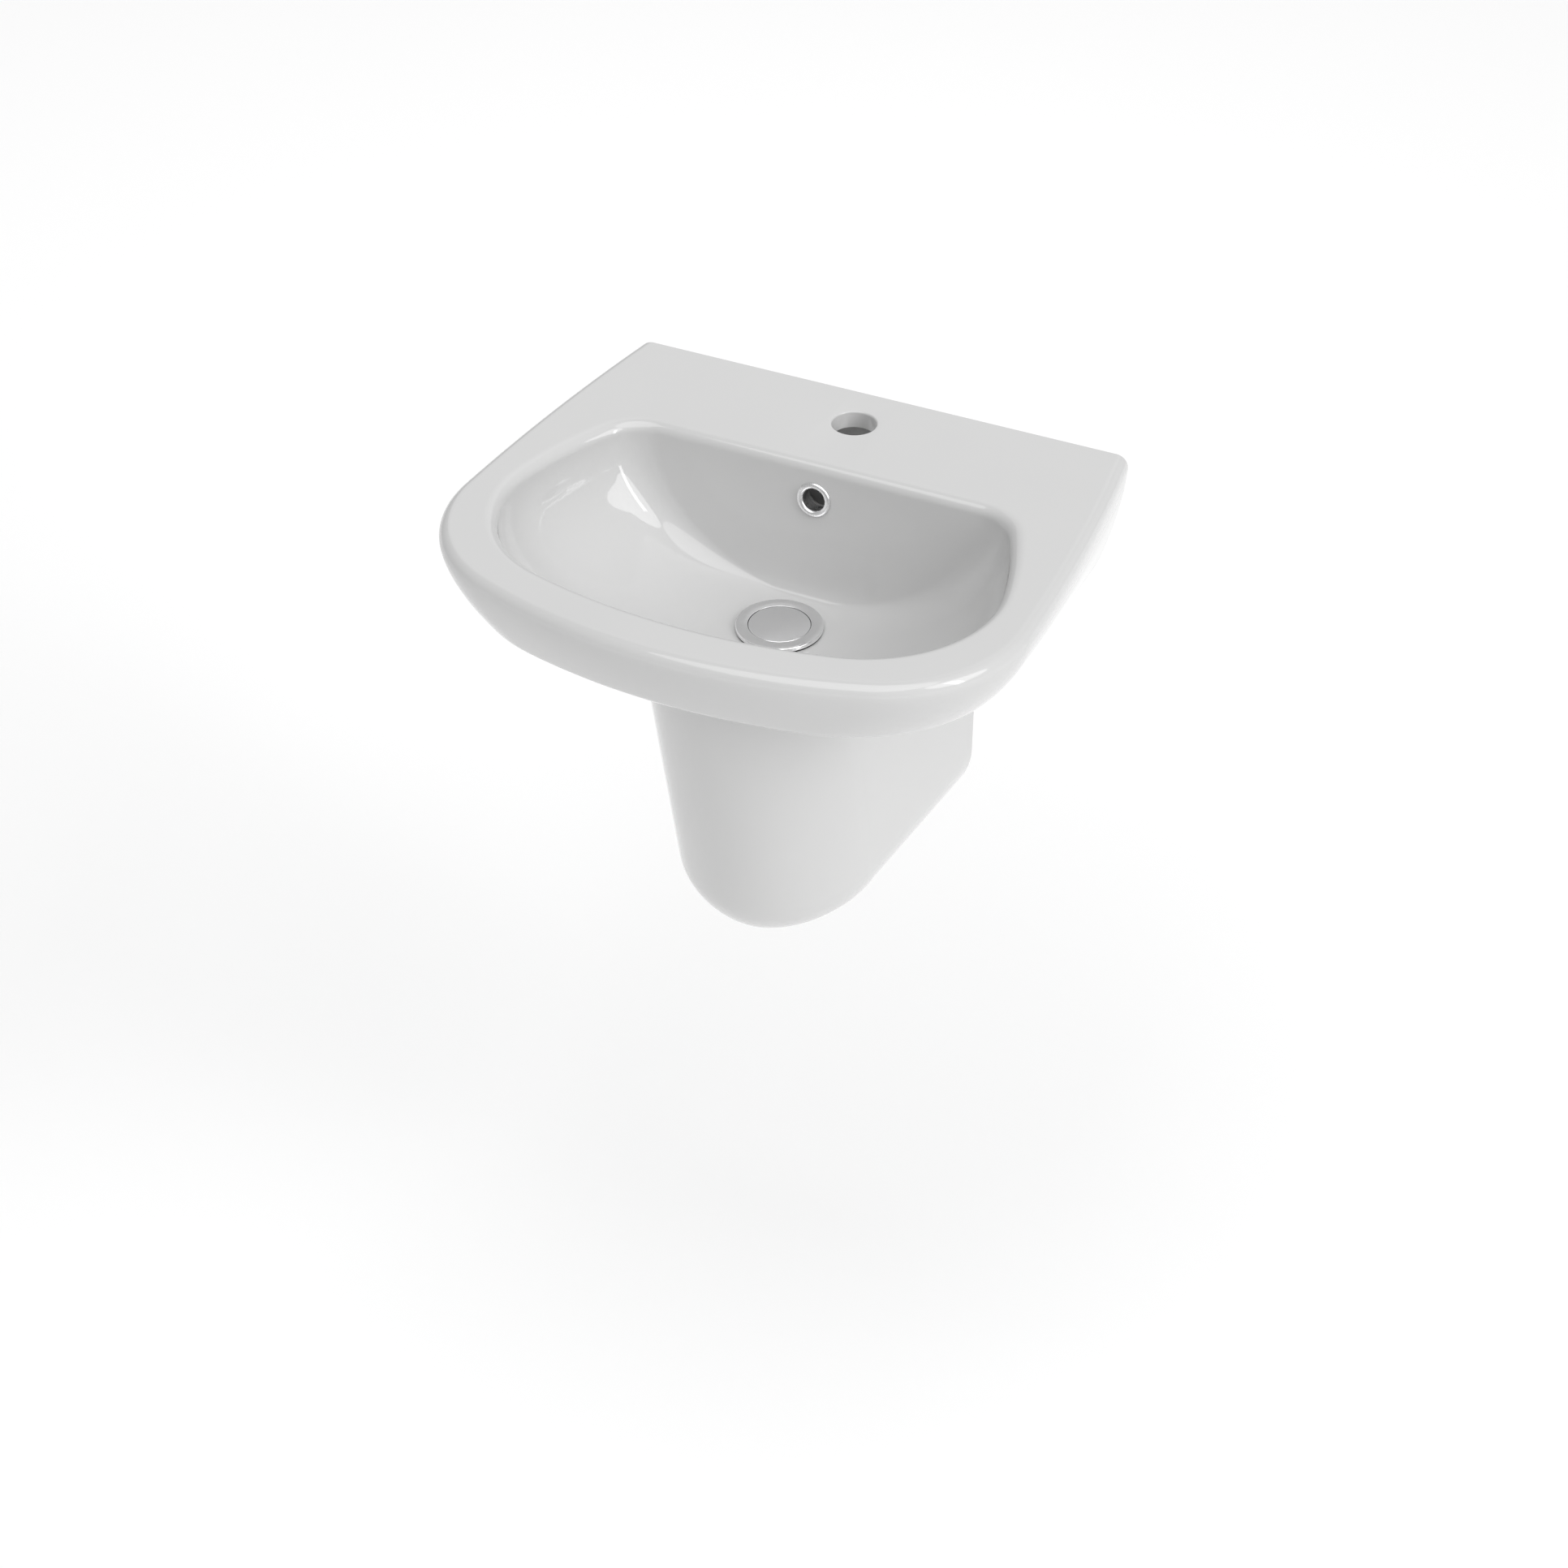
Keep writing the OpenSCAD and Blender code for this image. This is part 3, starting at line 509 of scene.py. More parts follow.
def bellyRings(steps, drop=0.0):
    rings = []
    for k in range(1, steps + 1):
        a = math.pi / 2 * k / steps
        inward, down = 1 - math.cos(a) ** b["bellyFullness"], math.sin(a) ** b["bellyFullness"]
        if k == steps:
            inward, down = 1.0, 1.0
        ring = planRing(rimPlan - leanPlan + (bossPlan - rimPlan + leanPlan) * inward)
        rings.append(ringAt(ring, lowerEdge(ring[:, 1]) * (1 - down) + (bossZ + 1.5) * down - drop))
    return rings


def wallRings(steps):
    rings = []
    for k in range(1, steps + 1):
        t = k / steps
        ring = planRing(rimPlan - leanPlan * t ** 1.6)
        rings.append(ringAt(ring, (b["deckZ"] - b["edgeR"]) * (1 - t) + lowerEdge(ring[:, 1]) * t))
    return rings


def bowlRings(steps):
    rings = []
    for k in range(1, steps + 1):
        a = math.pi / 2 * k / steps
        inward, down = 1 - math.cos(a) ** w["fullness"], math.sin(a) ** w["fullness"]
        if k == steps:
            inward, down = 1.0, 1.0
        plan = shrunk(mouthPlan, w["mouthR"]) * (1 - inward) + seatPlan * inward
        wallY = w["backY"] + w["mouthR"] + (w["creaseY"] - w["backY"] - w["mouthR"]) * down
        plan[6] = wallY + (f["wasteY"] - f["seatR"] - wallY) * inward ** 5
        plan[7] = min(plan[7], (plan[1] - plan[6]) * 0.9)
        rings.append(ringAt(planRing(plan), (b["deckZ"] - w["mouthR"]) * (1 - down) + floorZ * down))
    return rings


def roundedEdge(plan, reach, steps, way):
    rings = []
    for k in range(steps + 1):
        a = math.pi / 2 * k / steps
        rings.append(ringAt(planRing(way(plan, reach * math.sin(a))), b["deckZ"] - reach * (1 - math.cos(a))))
    return rings


def skinMesh(name, rings):
    # walls through a stack of closed rings, with a fan over the first and the last
    count = len(rings[0])
    points = np.concatenate(rings) * mm
    faces = []
    for k in range(len(rings) - 1):
        for i in range(count):
            j = (i + 1) % count
            faces.append((k * count + i, k * count + j, (k + 1) * count + j, (k + 1) * count + i))
    last = (len(rings) - 1) * count
    points = np.concatenate([points, [rings[0].mean(0) * mm, rings[-1].mean(0) * mm]])
    faces += [((i + 1) % count, i, len(points) - 2) for i in range(count)]
    faces += [(last + i, last + (i + 1) % count, len(points) - 1) for i in range(count)]
    return meshFrom(name, points, faces)


def hollowSection(top, foot):
    return [(-14, b["deckZ"] - 14), (-top, b["deckZ"] - 14), (-foot, floorZ + 8), (-foot - 6, bossZ - 20),
            (-14, bossZ - 20)]


def flaredHole(name, radius, low, high, flare):
    # a hole whose upper end opens out in a small glazed rounding
    turn = [(radius + flare * (1 - math.cos(a)), high - flare * (1 - math.sin(a)))
            for a in np.linspace(0, math.pi / 2, 7)]
    return latheMesh(name, [(0, low), (radius, low)] + turn + [(radius + flare, high + 3), (0, high + 3)], 0)


wallLean = math.atan((w["creaseY"] - w["backY"] - w["mouthR"]) / (w["depth"] - w["mouthR"]))
overflowZ = b["deckZ"] - f["overflowDrop"]
overflowY = w["backY"] + w["mouthR"] + (b["deckZ"] - w["mouthR"] - overflowZ) * math.tan(wallLean)


def atOverflow(mesh):
    # local up becomes the bowl's back wall normal, pointing into the bowl
    for vertex in mesh.vertices:
        x, y, z = vertex.co
        turn = math.pi / 2 - wallLean
        vertex.co = (x, y * math.cos(turn) - z * math.sin(turn) - overflowY * mm,
                     y * math.sin(turn) + z * math.cos(turn) + overflowZ * mm)
    return mesh


def atWall(mesh, x, z):
    for vertex in mesh.vertices:
        vertex.co = (vertex.co.x + x * mm, -vertex.co.z, vertex.co.y + z * mm)
    return mesh


def makeBasin():
    # a ring a millimetre inside each rounding keeps the flat deck's shading flat
    innerDeck, outerMouth = shrunk(deckPlan, 1), grown(mouthPlan, 1)
    innerDeck[7] = deckPlan[7]
    outerMouth[6] -= 1
    deckEdges = [ringAt(planRing(innerDeck), b["deckZ"]), ringAt(planRing(outerMouth), b["deckZ"])]
    rings = (bellyRings(22)[::-1] + wallRings(14)[::-1] + roundedEdge(deckPlan, b["edgeR"], 8, grown)[::-1]
             + deckEdges + roundedEdge(mouthPlan, w["mouthR"], 8, shrunk) + bowlRings(44))
    mesh = skinMesh("basinSkin", rings)
    low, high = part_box("basin")
    reach = max(abs(vertex.co.x) for vertex in mesh.vertices)
    for vertex in mesh.vertices:
        vertex.co.x *= high[0] / reach
    basin = scratchObject(mesh)
    seatProfile = [(0, bossZ), (f["seatR"], bossZ), (f["seatR"], bossZ + 6), (0, bossZ + 6)]
    seat = shifted(latheMesh("seat", seatProfile, 0.6),
                   (0, -f["wasteY"] * mm, 0))
    combine(basin, [scratchObject(seat)], "UNION")
    foot = w["creaseY"] - 10
    wasteProfile = [(0, bossZ - 1), (f["wasteR"], bossZ - 1), (f["wasteR"], floorZ - f["sinkDepth"]),
                    (f["sinkR"], floorZ), (f["sinkR"], floorZ + 3), (0, floorZ + 3)]
    waste = shifted(latheMesh("wasteCut", wasteProfile, 0), (0, -f["wasteY"] * mm, 0))
    tap = shifted(flaredHole("tapCut", f["tapR"], b["deckZ"] - 15, b["deckZ"], 1.6), (0, -f["tapY"] * mm, 0))
    overflowProfile = [(0, -20), (f["overflowR"], -20), (f["overflowR"], 8), (0, 8)]
    overflow = atOverflow(latheMesh("overflowCut", overflowProfile, 0))
    cutters = [alongX("hollowRight", hollowSection(w["backY"] - 4, foot), 22, 165),
               alongX("hollowLeft", hollowSection(w["backY"] - 4, foot), -165, -22),
               alongX("hollowMiddle", hollowSection(88, 88), -23, 23),
               waste, tap, overflow,
               boxMesh("duct", (-14, -102, bossZ + 4), (14, -93, overflowZ + 14)),
               boxMesh("channel", (-14, -178, bossZ + 4), (14, -93, bossZ + 11))]
    for side in (-1, 1):
        hole = latheMesh("studHole", [(0, -1), (f["studHoleR"], -1), (f["studHoleR"], 16), (0, 16)], 0, 48)
        cutters.append(atWall(hole, side * f["studX"], 0))
    combine(basin, [scratchObject(cutter) for cutter in cutters])
    basin.name = "glazedBasin"
    basin.data.materials.clear()
    basin.data.materials.append(glazedCeramic)
    return finishPiece(basin, "basin", 32)


basinPiece = makeBasin()
print("basin made:", len(basinPiece.data.polygons), "faces")


# ---- semi-pedestal ----

pedestalShape = {"backWidth": 188, "width": 164, "depth": 336, "drop": 383, "edgeR": 66, "wall": 9,
                 "lean": 12.3, "reach": 96, "topDrop": 55, "fitGap": 2, "lugX": 62, "lugZ": -170, "lugHoleR": 4.5, "lugT": 10}


def uCurve(half, flare, depth, z):
    p = pedestalShape
    reach = min(p["reach"], depth - 5)
    sides = [(half + flare * (1 - t), (reach - depth) * t, z) for t in np.linspace(0, 1, 15)[:-1]]
    front = [(half * math.cos(a), reach - depth - reach * math.sin(a), z) for a in np.linspace(0, math.pi, 65)]
    left = [(-x, y, z) for x, y, _ in sides[::-1]]
    return np.array(sides + front + left)


def pedestalCurves(inset):
    p = pedestalShape
    half, flare, bend = p["width"] / 2 - inset, (p["backWidth"] - p["width"]) / 2, p["edgeR"] - inset
    bendZ = b["deckZ"] - p["drop"] + p["edgeR"]
    lean = math.tan(math.radians(p["lean"]))
    curves = []
    for z in np.linspace(b["deckZ"] - p["topDrop"], bendZ, 24)[:-1]:
        curves.append(uCurve(half, flare, p["depth"] - (b["deckZ"] - z) * lean - inset, z))
    for a in np.linspace(0, math.pi / 2, 19):
        z, i = bendZ - bend * math.sin(a), bend * (1 - math.cos(a))
        curves.append(uCurve(half - i, flare, p["depth"] - (b["deckZ"] - z) * lean - inset - i, z))
    return curves


def shellMesh(outer, inner):
    count, last = len(outer[0]), len(outer) - 1
    far = (last + 1) * count
    points = np.concatenate(outer + inner) * mm
    faces = []
    for k in range(last):
        for i in range(count - 1):
            a = k * count + i
            faces.append((a, a + 1, a + count + 1, a + count))
            faces.append((far + a, far + a + count, far + a + count + 1, far + a + 1))
        for a in (k * count, k * count + count - 1):
            faces.append((a, a + count, far + a + count, far + a))
    for i in range(count - 1):
        faces.append((i, i + 1, far + i + 1, far + i))
    ends = [last * count + i for i in range(count)]
    for i in range(count // 2):
        # bottoms, in strips from side to side
        j = count - 1 - i
        if j - i > 1:
            strip = list(dict.fromkeys([ends[i], ends[i + 1], ends[j - 1], ends[j]]))
            faces.append(strip)
            faces.append([far + corner for corner in reversed(strip)])
    faces.append((ends[0], ends[-1], far + ends[-1], far + ends[0]))
    return meshFrom("pedestalShell", points, faces)


def makePedestal():
    p = pedestalShape
    pedestal = scratchObject(shellMesh(pedestalCurves(0), pedestalCurves(p["wall"])))
    lowZ, highZ = p["lugZ"] - 20, p["lugZ"] + 20
    lugs = [boxMesh("lug", (p["lugX"] - 12, -p["lugT"], lowZ), (p["lugX"] + 26, -0.01, highZ)),
            boxMesh("lug", (-p["lugX"] - 26, -p["lugT"], lowZ), (-p["lugX"] + 12, -0.01, highZ))]
    combine(pedestal, [scratchObject(lug) for lug in lugs], "UNION")
    rings = bellyRings(22, p["fitGap"])[::-1] + [ringAt(planRing(rimPlan), b["deckZ"])]
    for ring in rings:
        ring[ring[:, 1] > -2.5, 1] += 5
    cutters = [skinMesh("trim", rings)]
    for side in (-1, 1):
        hole = latheMesh("lugHole", [(0, -1), (p["lugHoleR"], -1), (p["lugHoleR"], 12), (0, 12)], 0, 48)
        cutters.append(atWall(hole, side * p["lugX"], p["lugZ"]))
    combine(pedestal, [scratchObject(cutter) for cutter in cutters])
    pedestal.name = "glazedSemiPedestal"
    pedestal.data.materials.clear()
    pedestal.data.materials.append(glazedCeramic)
    return finishPiece(pedestal, "semi_pedestal", 32)


pedestalPiece = makePedestal()
print("semi-pedestal made:", len(pedestalPiece.data.polygons), "faces")


# ---- geometry node trees for what repeats ----

def endTree(tree, geometry, end):
    real = addNode(tree, "GeometryNodeRealizeInstances", {0: geometry})
    painted = addNode(tree, "GeometryNodeSetMaterial", {"Geometry": real.outputs[0]})
    start = [node for node in tree.nodes if node.bl_idname == "NodeGroupInput"][0]
    tree.links.new(start.outputs["Finish"], painted.inputs["Material"])
    tree.links.new(painted.outputs[0], end.inputs[0])


def gripRibTree():
    # upright ribs spaced round a collar, joined to the collar itself
    tree, start, end = newGroup(
        "gripRibs", "GeometryNodeTree",
        [("Collar", "NodeSocketGeometry", None), ("Count", "NodeSocketInt", 12), ("Radius", "NodeSocketFloat", 0.025),
         ("Rib Width", "NodeSocketFloat", 0.0024), ("Rib Depth", "NodeSocketFloat", 0.002),
         ("Rib Height", "NodeSocketFloat", 0.02), ("Middle Z", "NodeSocketFloat", 0.0),
         ("Finish", "NodeSocketMaterial", None)],
        [("Geometry", "NodeSocketGeometry")])
    circle = addNode(tree, "GeometryNodeMeshCircle", {"Vertices": start.outputs["Count"],
                                                      "Radius": start.outputs["Radius"]})
    size = addNode(tree, "ShaderNodeCombineXYZ", {0: start.outputs["Rib Depth"], 1: start.outputs["Rib Width"],
                                                  2: start.outputs["Rib Height"]})
    rib = addNode(tree, "GeometryNodeMeshCube", {"Size": size.outputs[0], "Vertices X": 3, "Vertices Y": 3,
                                                 "Vertices Z": 5})
    index = addNode(tree, "GeometryNodeInputIndex")
    turn = addNode(tree, "ShaderNodeMath", {0: 2 * math.pi, 1: start.outputs["Count"]}, operation="DIVIDE")
    angle = addNode(tree, "ShaderNodeMath", {0: index.outputs[0], 1: turn.outputs[0]}, operation="MULTIPLY")
    spin = addNode(tree, "ShaderNodeCombineXYZ", {2: angle.outputs[0]})
    placed = addNode(tree, "GeometryNodeInstanceOnPoints", {"Points": circle.outputs[0],
                                                            "Instance": rib.outputs[0]})
    tree.links.new(spin.outputs[0], placed.inputs["Rotation"])
    lift = addNode(tree, "ShaderNodeCombineXYZ", {2: start.outputs["Middle Z"]})
    raised = addNode(tree, "GeometryNodeTransform", {"Geometry": placed.outputs[0],
                                                     "Translation": lift.outputs[0]})
    joined = addNode(tree, "GeometryNodeJoinGeometry")
    tree.links.new(raised.outputs[0], joined.inputs[0])
    tree.links.new(start.outputs["Collar"], joined.inputs[0])
    endTree(tree, joined.outputs[0], end)
    return tree


def coilTree():
    # a round wire or a thread ridge wound along +Z, joined to what it is wound on
    tree, start, end = newGroup(
        "coil", "GeometryNodeTree",
        [("Core", "NodeSocketGeometry", None), ("Radius", "NodeSocketFloat", 0.005), ("Height", "NodeSocketFloat", 0.02),
         ("Turns", "NodeSocketFloat", 6.0), ("Wire Radius", "NodeSocketFloat", 0.0005), ("Sides", "NodeSocketInt", 10),
         ("Low Z", "NodeSocketFloat", 0.0), ("Finish", "NodeSocketMaterial", None)],
        [("Geometry", "NodeSocketGeometry")])
    spiral = addNode(tree, "GeometryNodeCurveSpiral",
                     {"Resolution": 36, "Rotations": start.outputs["Turns"], "Start Radius": start.outputs["Radius"],
                      "End Radius": start.outputs["Radius"], "Height": start.outputs["Height"]})
    wire = addNode(tree, "GeometryNodeCurvePrimitiveCircle",
                   {"Resolution": start.outputs["Sides"], "Radius": start.outputs["Wire Radius"]})
    swept = addNode(tree, "GeometryNodeCurveToMesh", {"Curve": spiral.outputs[0], "Profile Curve": wire.outputs[0],
                                                      "Fill Caps": True})
    lift = addNode(tree, "ShaderNodeCombineXYZ", {2: start.outputs["Low Z"]})
    raised = addNode(tree, "GeometryNodeTransform", {"Geometry": swept.outputs[0],
                                                     "Translation": lift.outputs[0]})
    joined = addNode(tree, "GeometryNodeJoinGeometry")
    tree.links.new(raised.outputs[0], joined.inputs[0])
    tree.links.new(start.outputs["Core"], joined.inputs[0])
    endTree(tree, joined.outputs[0], end)
    return tree


ribTree = gripRibTree()
windTree = coilTree()


def grow(piece, tree, **values):
    # one pass of a geometry node tree, made real
    step = piece.modifiers.new(tree.name, "NODES")
    step.node_group = tree
    for item in tree.interface.items_tree:
        key = item.name.replace(" ", "_")
        if item.item_type == "SOCKET" and item.in_out == "INPUT" and key in values:
            step[item.identifier] = values[key]
    return bakedObject(piece)


# ---- overflow ring, waste and plug ----

wasteShape = {"flangeR": 34, "tailR": 20.95, "tubeR": 18, "recessR": 24.4, "flangeRise": 4.5, "hubR": 9,
              "plugR": 24, "plugT": 2.6, "threadPitch": 2.3, "threadDepth": 0.35}
ringProfile = [(9, -10), (11.4, -10), (11.4, 0.2), (14, 0.2), (14, 1.2), (13.2, 2.2), (12, 2.6), (10.6, 2.4),
               (9.6, 1.6), (9, 0.4)]
ringPiece = placeObject("overflowTrim", atOverflow(latheMesh("overflowTrim", ringProfile, 0.5)), satinChrome)
finishPiece(ringPiece, "overflow_ring")

s = wasteShape
flangeTop = floorZ + s["flangeRise"]
tailEnd = bossZ - 62
hubTop, hubLow = bossZ - 2, bossZ - 8


def makeWaste():
    rootR = s["tailR"] - s["threadDepth"]
    profile = [(s["tubeR"], tailEnd), (rootR, tailEnd), (rootR, floorZ - 8.2),
               (27.8, floorZ), (29.3, flangeTop - 3), (s["flangeR"], flangeTop - 3), (s["flangeR"], flangeTop - 0.5),
               (s["flangeR"] - 0.5, flangeTop), (s["recessR"], flangeTop), (s["recessR"], floorZ - 0.2),
               (s["tubeR"], floorZ - 7)]
    body = scratchObject(latheMesh("wasteTube", profile, 0.25, 128))
    hub = latheMesh("hub", [(s["hubR"], hubLow), (12, hubLow), (12, hubTop), (s["hubR"], hubTop)], 0.3, 64)
    webs = []
    for k in range(3):
        web = boxMesh("web", (10.5, -1.5, hubLow + 0.2), (19, 1.5, hubTop - 0.2))
        angle = math.radians(30 + 120 * k)
        for vertex in web.vertices:
            x, y, z = vertex.co
            vertex.co = (x * math.cos(angle) - y * math.sin(angle),
                         x * math.sin(angle) + y * math.cos(angle), z)
        webs.append(web)
    combine(body, [scratchObject(mesh) for mesh in [hub] + webs], "UNION")
    combine(body, [scratchObject(boxMesh("windows", (-7, -23, bossZ + 4), (7, 23, bossZ + 10)))])
    length = bossZ - 1 - tailEnd
    grow(body, windTree, Radius=(s["tailR"] - s["threadDepth"] * 1.1) * mm, Height=(length - 2) * mm,
         Turns=(length - 2) / s["threadPitch"], Wire_Radius=s["threadDepth"] * mm, Sides=6, Low_Z=(tailEnd + 1) * mm,
         Finish=polishedChrome)
    shifted(body.data, (0, -f["wasteY"] * mm, 0))
    body.name = "wasteFitting"
    return finishPiece(body, "waste_body")


makeWaste()

plugTop = flangeTop - 0.2
plugUnder = plugTop - s["plugT"]
groove = {"coreR": 19.5, "top": -45.49, "low": -48.89}
plugProfile = [(0, plugTop), (s["plugR"] - 0.3, plugTop), (s["plugR"], plugTop - 0.3), (s["plugR"], plugUnder),
               (21.2, plugUnder), (21.2, groove["top"]), (groove["coreR"], groove["top"]),
               (groove["coreR"], groove["low"]),
               (20.2, groove["low"]), (20.2, groove["low"] - 0.7), (8, plugUnder - 8), (3, plugUnder - 8),
               (3, plugUnder - 2), (0, plugUnder - 2)]
plugMesh = shifted(latheMesh("pushPlug", plugProfile, 0.2, 128), (0, -f["wasteY"] * mm, 0))
plugPiece = placeObject("pushPlug", plugMesh, plugChrome)
finishPiece(plugPiece, "waste_plug")

springLow, springHigh = [corner[2] * 1000 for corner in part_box("cartridge_spring")]
springPiece = placeObject("liftSpring", bpy.data.meshes.new("liftSpring"), zincSteel)
grow(springPiece, windTree, Radius=5.4 * mm, Height=(springHigh - springLow - 1.15) * mm, Turns=6.0,
     Wire_Radius=0.55 * mm, Sides=12, Low_Z=(springLow + 0.575) * mm, Finish=zincSteel)
shifted(springPiece.data, (0, -f["wasteY"] * mm, 0))
finishPiece(springPiece, "cartridge_spring")
print("overflow ring, waste, plug and spring made")


# ---- trap ----

trapShape = {"pipeR": 16, "bottleR": 33, "branchEnd": 54, "ribCount": 12, "ribWidth": 2.4}
t = trapShape
outletZ = tailEnd - 58
bottleTop, bottleLow = outletZ + 22, outletZ - 22
cupLow = bottleLow - 70
neckTop = bottleTop + 15


def makeNut(name, node, boreR, outerR, low, high, shoulderLow, shoulderHigh, moveTo):
    if shoulderLow > low:
        profile = [(boreR, low), (outerR, low), (outerR, high), (t["pipeR"] + 0.5, high),
                   (t["pipeR"] + 0.5, shoulderLow), (boreR, shoulderLow)]
    else:
        profile = [(t["pipeR"] + 0.5, low), (outerR, low), (outerR, high), (boreR, high), (boreR, shoulderHigh),
                   (t["pipeR"] + 0.5, shoulderHigh)]
    nut = placeObject(name, latheMesh(name, profile, 0.6), whitePlastic)
    grow(nut, ribTree, Count=t["ribCount"], Radius=(outerR + 0.3) * mm, Rib_Width=t["ribWidth"] * mm,
         Rib_Depth=2 * mm, Rib_Height=(high - low - 1.4) * mm, Middle_Z=(high + low) / 2 * mm, Finish=whitePlastic)
    moveTo(nut.data)
    return finishPiece(nut, node)


def toWaste(mesh):
    return shifted(mesh, (0, -f["wasteY"] * mm, 0))


def toBranch(mesh):
    for vertex in mesh.vertices:
        vertex.co = (vertex.co.x, vertex.co.z + (t["branchEnd"] - f["wasteY"]) * mm,
                     -vertex.co.y + outletZ * mm)
    return mesh


unionLow = tailEnd - 2 - 2.5 - 3
makeNut("unionNut", "union_nut", 21, 25, unionLow, tailEnd + 12, unionLow, unionLow + 3, toWaste)
makeNut("headNut", "head_nut", 20.65, 24, bottleTop + 3, neckTop + 6, neckTop + 3, neckTop + 6, toWaste)
makeNut("outletNut", "outlet_nut", 20.65, 24, -12, 6, 3, 6, toBranch)

cupProfile = [(0, cupLow), (t["bottleR"] - 8, cupLow), (t["bottleR"] - 3.2, cupLow + 2.2),
              (t["bottleR"] - 1, cupLow + 7),
              (t["bottleR"] - 1, bottleLow - 2.4), (t["bottleR"] - 3.9, bottleLow - 2.4),
              (t["bottleR"] - 3.9, bottleLow - 15), (t["bottleR"] - 4.5, bottleLow - 16),
              (t["bottleR"] - 4.5, cupLow + 8), (t["bottleR"] - 9, cupLow + 3), (0, cupLow + 3)]
cupPiece = placeObject("trapCup", latheMesh("trapCup", cupProfile, 0.6, 128), whitePlastic)
grow(cupPiece, ribTree, Count=t["ribCount"], Radius=(t["bottleR"] - 0.65) * mm, Rib_Width=3 * mm, Rib_Depth=1.9 * mm,
     Rib_Height=49.6 * mm, Middle_Z=(cupLow + 35) * mm, Finish=whitePlastic)
toWaste(cupPiece.data)
finishPiece(cupPiece, "trap_cup")
print("trap made")


# ---- wall fixings ----

studShape = {"basinR": 5, "basinInWall": 70, "basinInRoom": 36, "pedestalR": 4, "pedestalInWall": 55,
             "pedestalInRoom": 25, "step": 0.2, "pitch": 1.5, "depth": 0.3, "woodPitch": 3.2}


def makeStuds(name, node, radius, inWall, inRoom, spacing, z):
    d = studShape["depth"]
    pair = []
    for side in (-1, 1):
        core, roomCore = radius - d, radius - d - studShape["step"]
        profile = [(0, -inWall), (core * 0.3, -inWall), (core, -inWall + 2.5 * radius), (core, 0), (roomCore, 0),
                   (roomCore, inRoom - 1), (roomCore - 1, inRoom), (0, inRoom)]
        stud = scratchObject(latheMesh(name, profile, 0.2, 40))
        grow(stud, windTree, Radius=(radius - studShape["step"] - d * 1.1) * mm, Height=(inRoom - 3) * mm,
             Turns=(inRoom - 3) / studShape["pitch"], Wire_Radius=d * mm, Sides=6, Low_Z=1 * mm, Finish=zincSteel)
        woodLength = inWall - 2.5 * radius - 6
        grow(stud, windTree, Radius=(radius - d * 1.1) * mm, Height=woodLength * mm,
             Turns=woodLength / studShape["woodPitch"], Wire_Radius=d * mm, Sides=6,
             Low_Z=(-inWall + 2.5 * radius + 1) * mm, Finish=zincSteel)
        atWall(stud.data, side * spacing / 2, z)
        pair.append(stud)
    shape = bmesh.new()
    for stud in pair:
        shape.from_mesh(stud.data)
        bpy.data.objects.remove(stud)
    mesh = bpy.data.meshes.new(name)
    shape.to_mesh(mesh)
    shape.free()
    return finishPiece(placeObject(name, mesh, zincSteel), node)


makeStuds("basinHangers", "basin_studs", studShape["basinR"], studShape["basinInWall"], studShape["basinInRoom"],
          2 * f["studX"], 0)
makeStuds("pedestalHangers", "pedestal_studs", studShape["pedestalR"], studShape["pedestalInWall"],
          studShape["pedestalInRoom"], 2 * pedestalShape["lugX"], pedestalShape["lugZ"])
print("wall fixings made")


# ---- floor, light and camera ----

stageLook = {"floorZ": -0.80, "floorReach": 14, "floorColour": (0.96, 0.96, 0.96, 1), "worldColour": (1, 1, 1, 1),
             "worldStrength": 0.42}


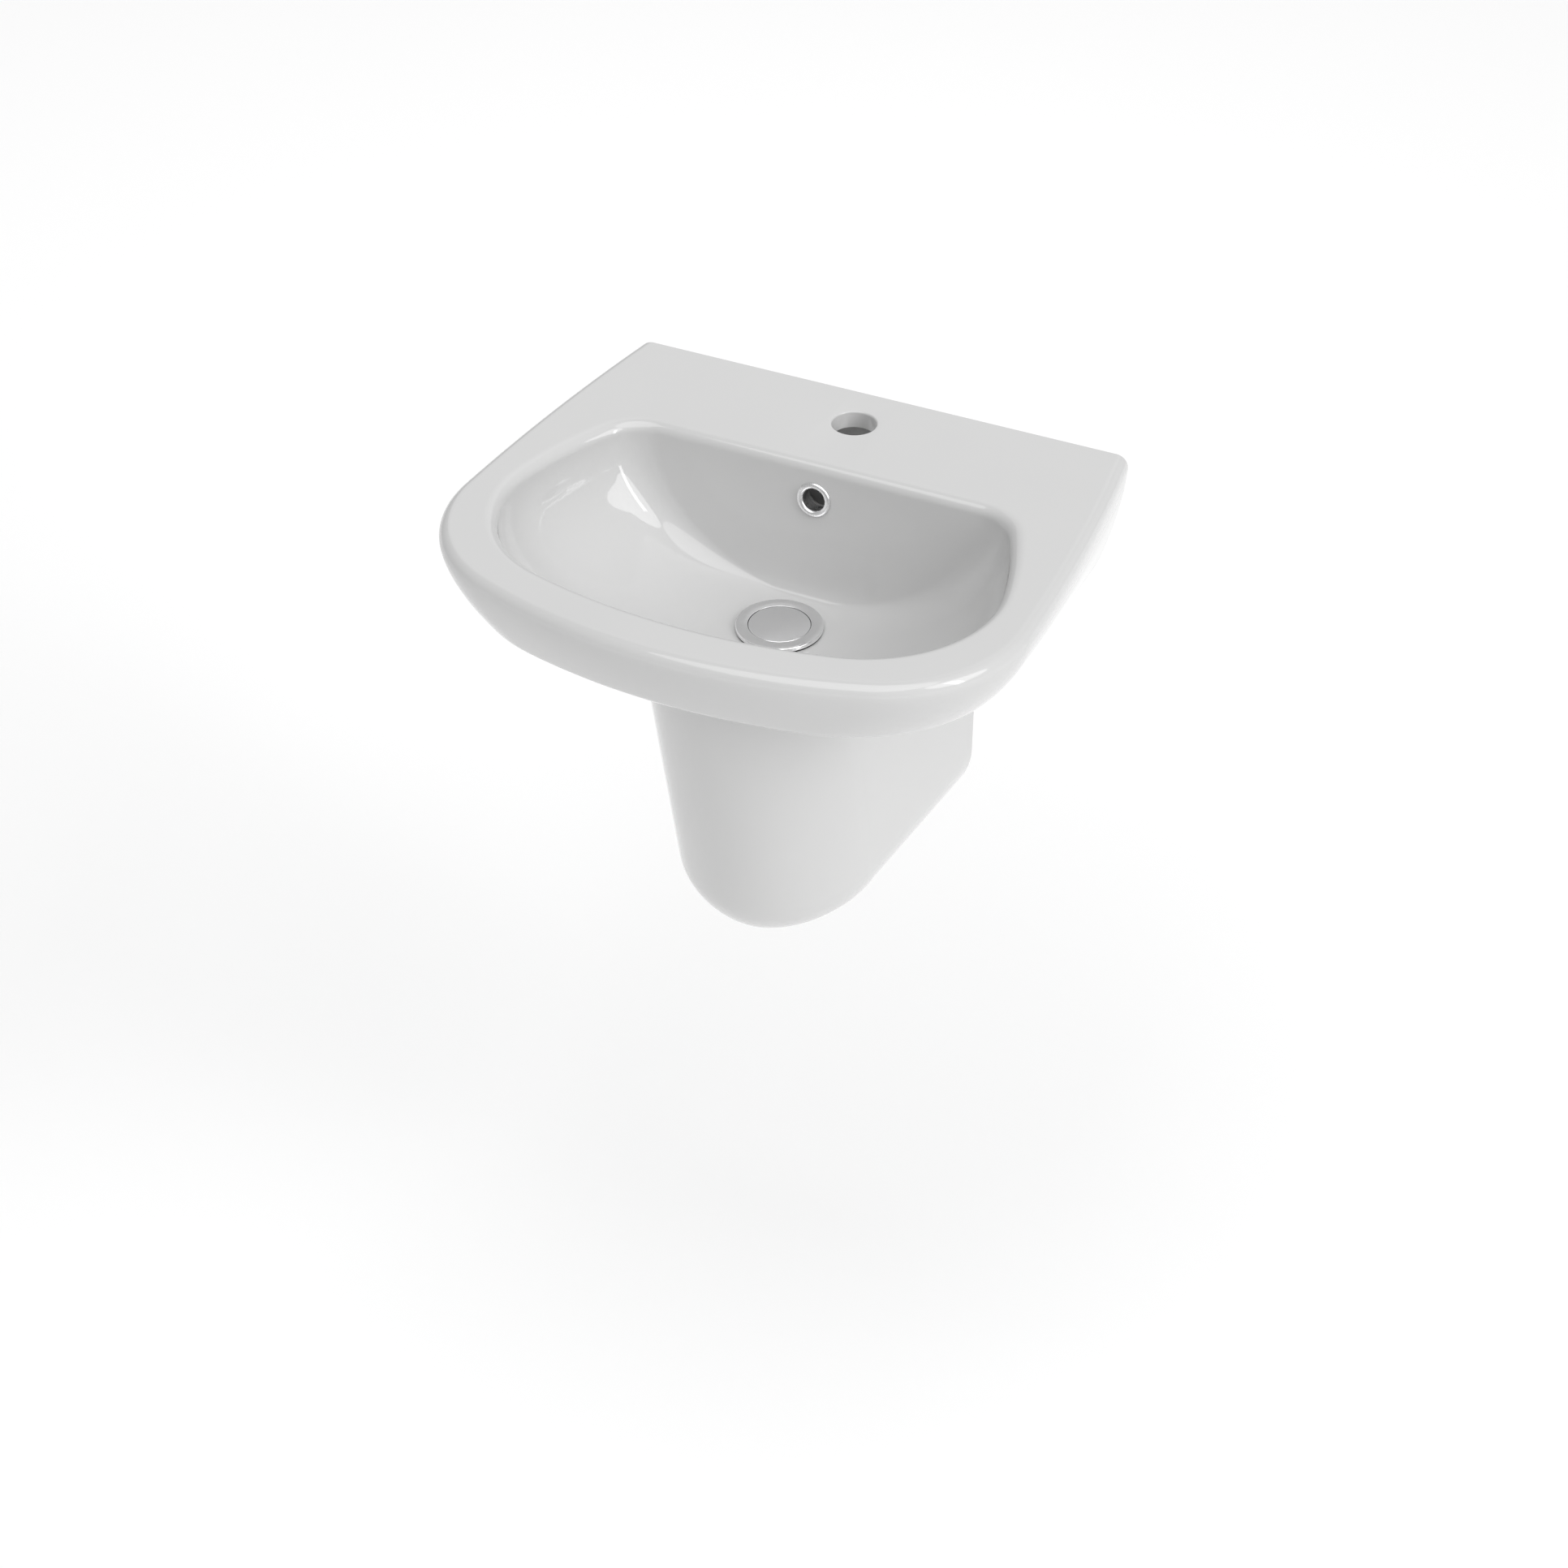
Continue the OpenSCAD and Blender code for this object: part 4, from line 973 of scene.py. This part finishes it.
def makeFloor():
    reach, z = stageLook["floorReach"], stageLook["floorZ"]
    corners = [(-reach, -reach, z), (reach, -reach, z), (reach, reach, z), (-reach, reach, z)]
    mesh = meshFrom("paleFloor", corners,
                    [(0, 1, 2, 3)])
    material, tree, shader = startMaterial("paleFloor")
    look = useGroup(tree, variationGroup, Wave_Size=0.8, Grain_Size=0.02, Low=0.7, High=0.8)
    tone = mixColour(tree, look.outputs["Waves"], stageLook["floorColour"], (0.95, 0.95, 0.95, 1))
    tree.links.new(tone, shader.inputs["Base Color"])
    tree.links.new(look.outputs["Roughness"], shader.inputs["Roughness"])
    floor = placeObject("paleFloor", mesh, material)


def makeLight(name, place, target, size, energy):
    light = bpy.data.lights.new(name, "AREA")
    light.shape = "RECTANGLE"
    light.size, light.size_y = size
    light.energy = energy
    lamp = bpy.data.objects.new(name, light)
    lamp.location = place
    lamp.rotation_euler = (Vector(target) - Vector(place)).to_track_quat("-Z", "Y").to_euler()
    bpy.context.scene.collection.objects.link(lamp)


def makeSun(name, direction, strength, spread):
    light = bpy.data.lights.new(name, "SUN")
    light.energy = strength
    light.angle = math.radians(spread)
    sun = bpy.data.objects.new(name, light)
    sun.rotation_euler = Vector(direction).to_track_quat("-Z", "Y").to_euler()
    bpy.context.scene.collection.objects.link(sun)


makeFloor()
makeLight("rightSoftbox", (2.3, -0.7, 1.1), (0, -0.2, 0), (0.3, 1.6), 8)
makeLight("backPanel", (-0.9, 1.9, 1.8), (0, -0.2, 0), (2.6, 2.2), 9)
makeSun("sideSun", (-0.8, 0.1, -0.5), 1.0, 40)
makeSun("topSun", (-0.12, 0.38, -1), 1.35, 60)
world = bpy.data.worlds.new("paleRoom")
world.use_nodes = True
world.node_tree.nodes["Background"].inputs[0].default_value = stageLook["worldColour"]
world.node_tree.nodes["Background"].inputs[1].default_value = stageLook["worldStrength"]
bpy.context.scene.world = world
bpy.context.scene.view_settings.view_transform = "Standard"

viewShape = {"place": (0.784, -1.791, 1.193), "turn": 25.81, "lookDown": 37.77, "lens": 65.2}
cameraData = bpy.data.cameras.new("viewCamera")
cameraData.lens = viewShape["lens"]
cameraData.sensor_width = 36
cameraData.clip_end = 50
camera = bpy.data.objects.new("viewCamera", cameraData)
camera.location = viewShape["place"]
camera.rotation_euler = (math.radians(90 - viewShape["lookDown"]), 0, math.radians(viewShape["turn"]))
bpy.context.scene.collection.objects.link(camera)
bpy.context.scene.camera = camera
print("floor, light and camera made")
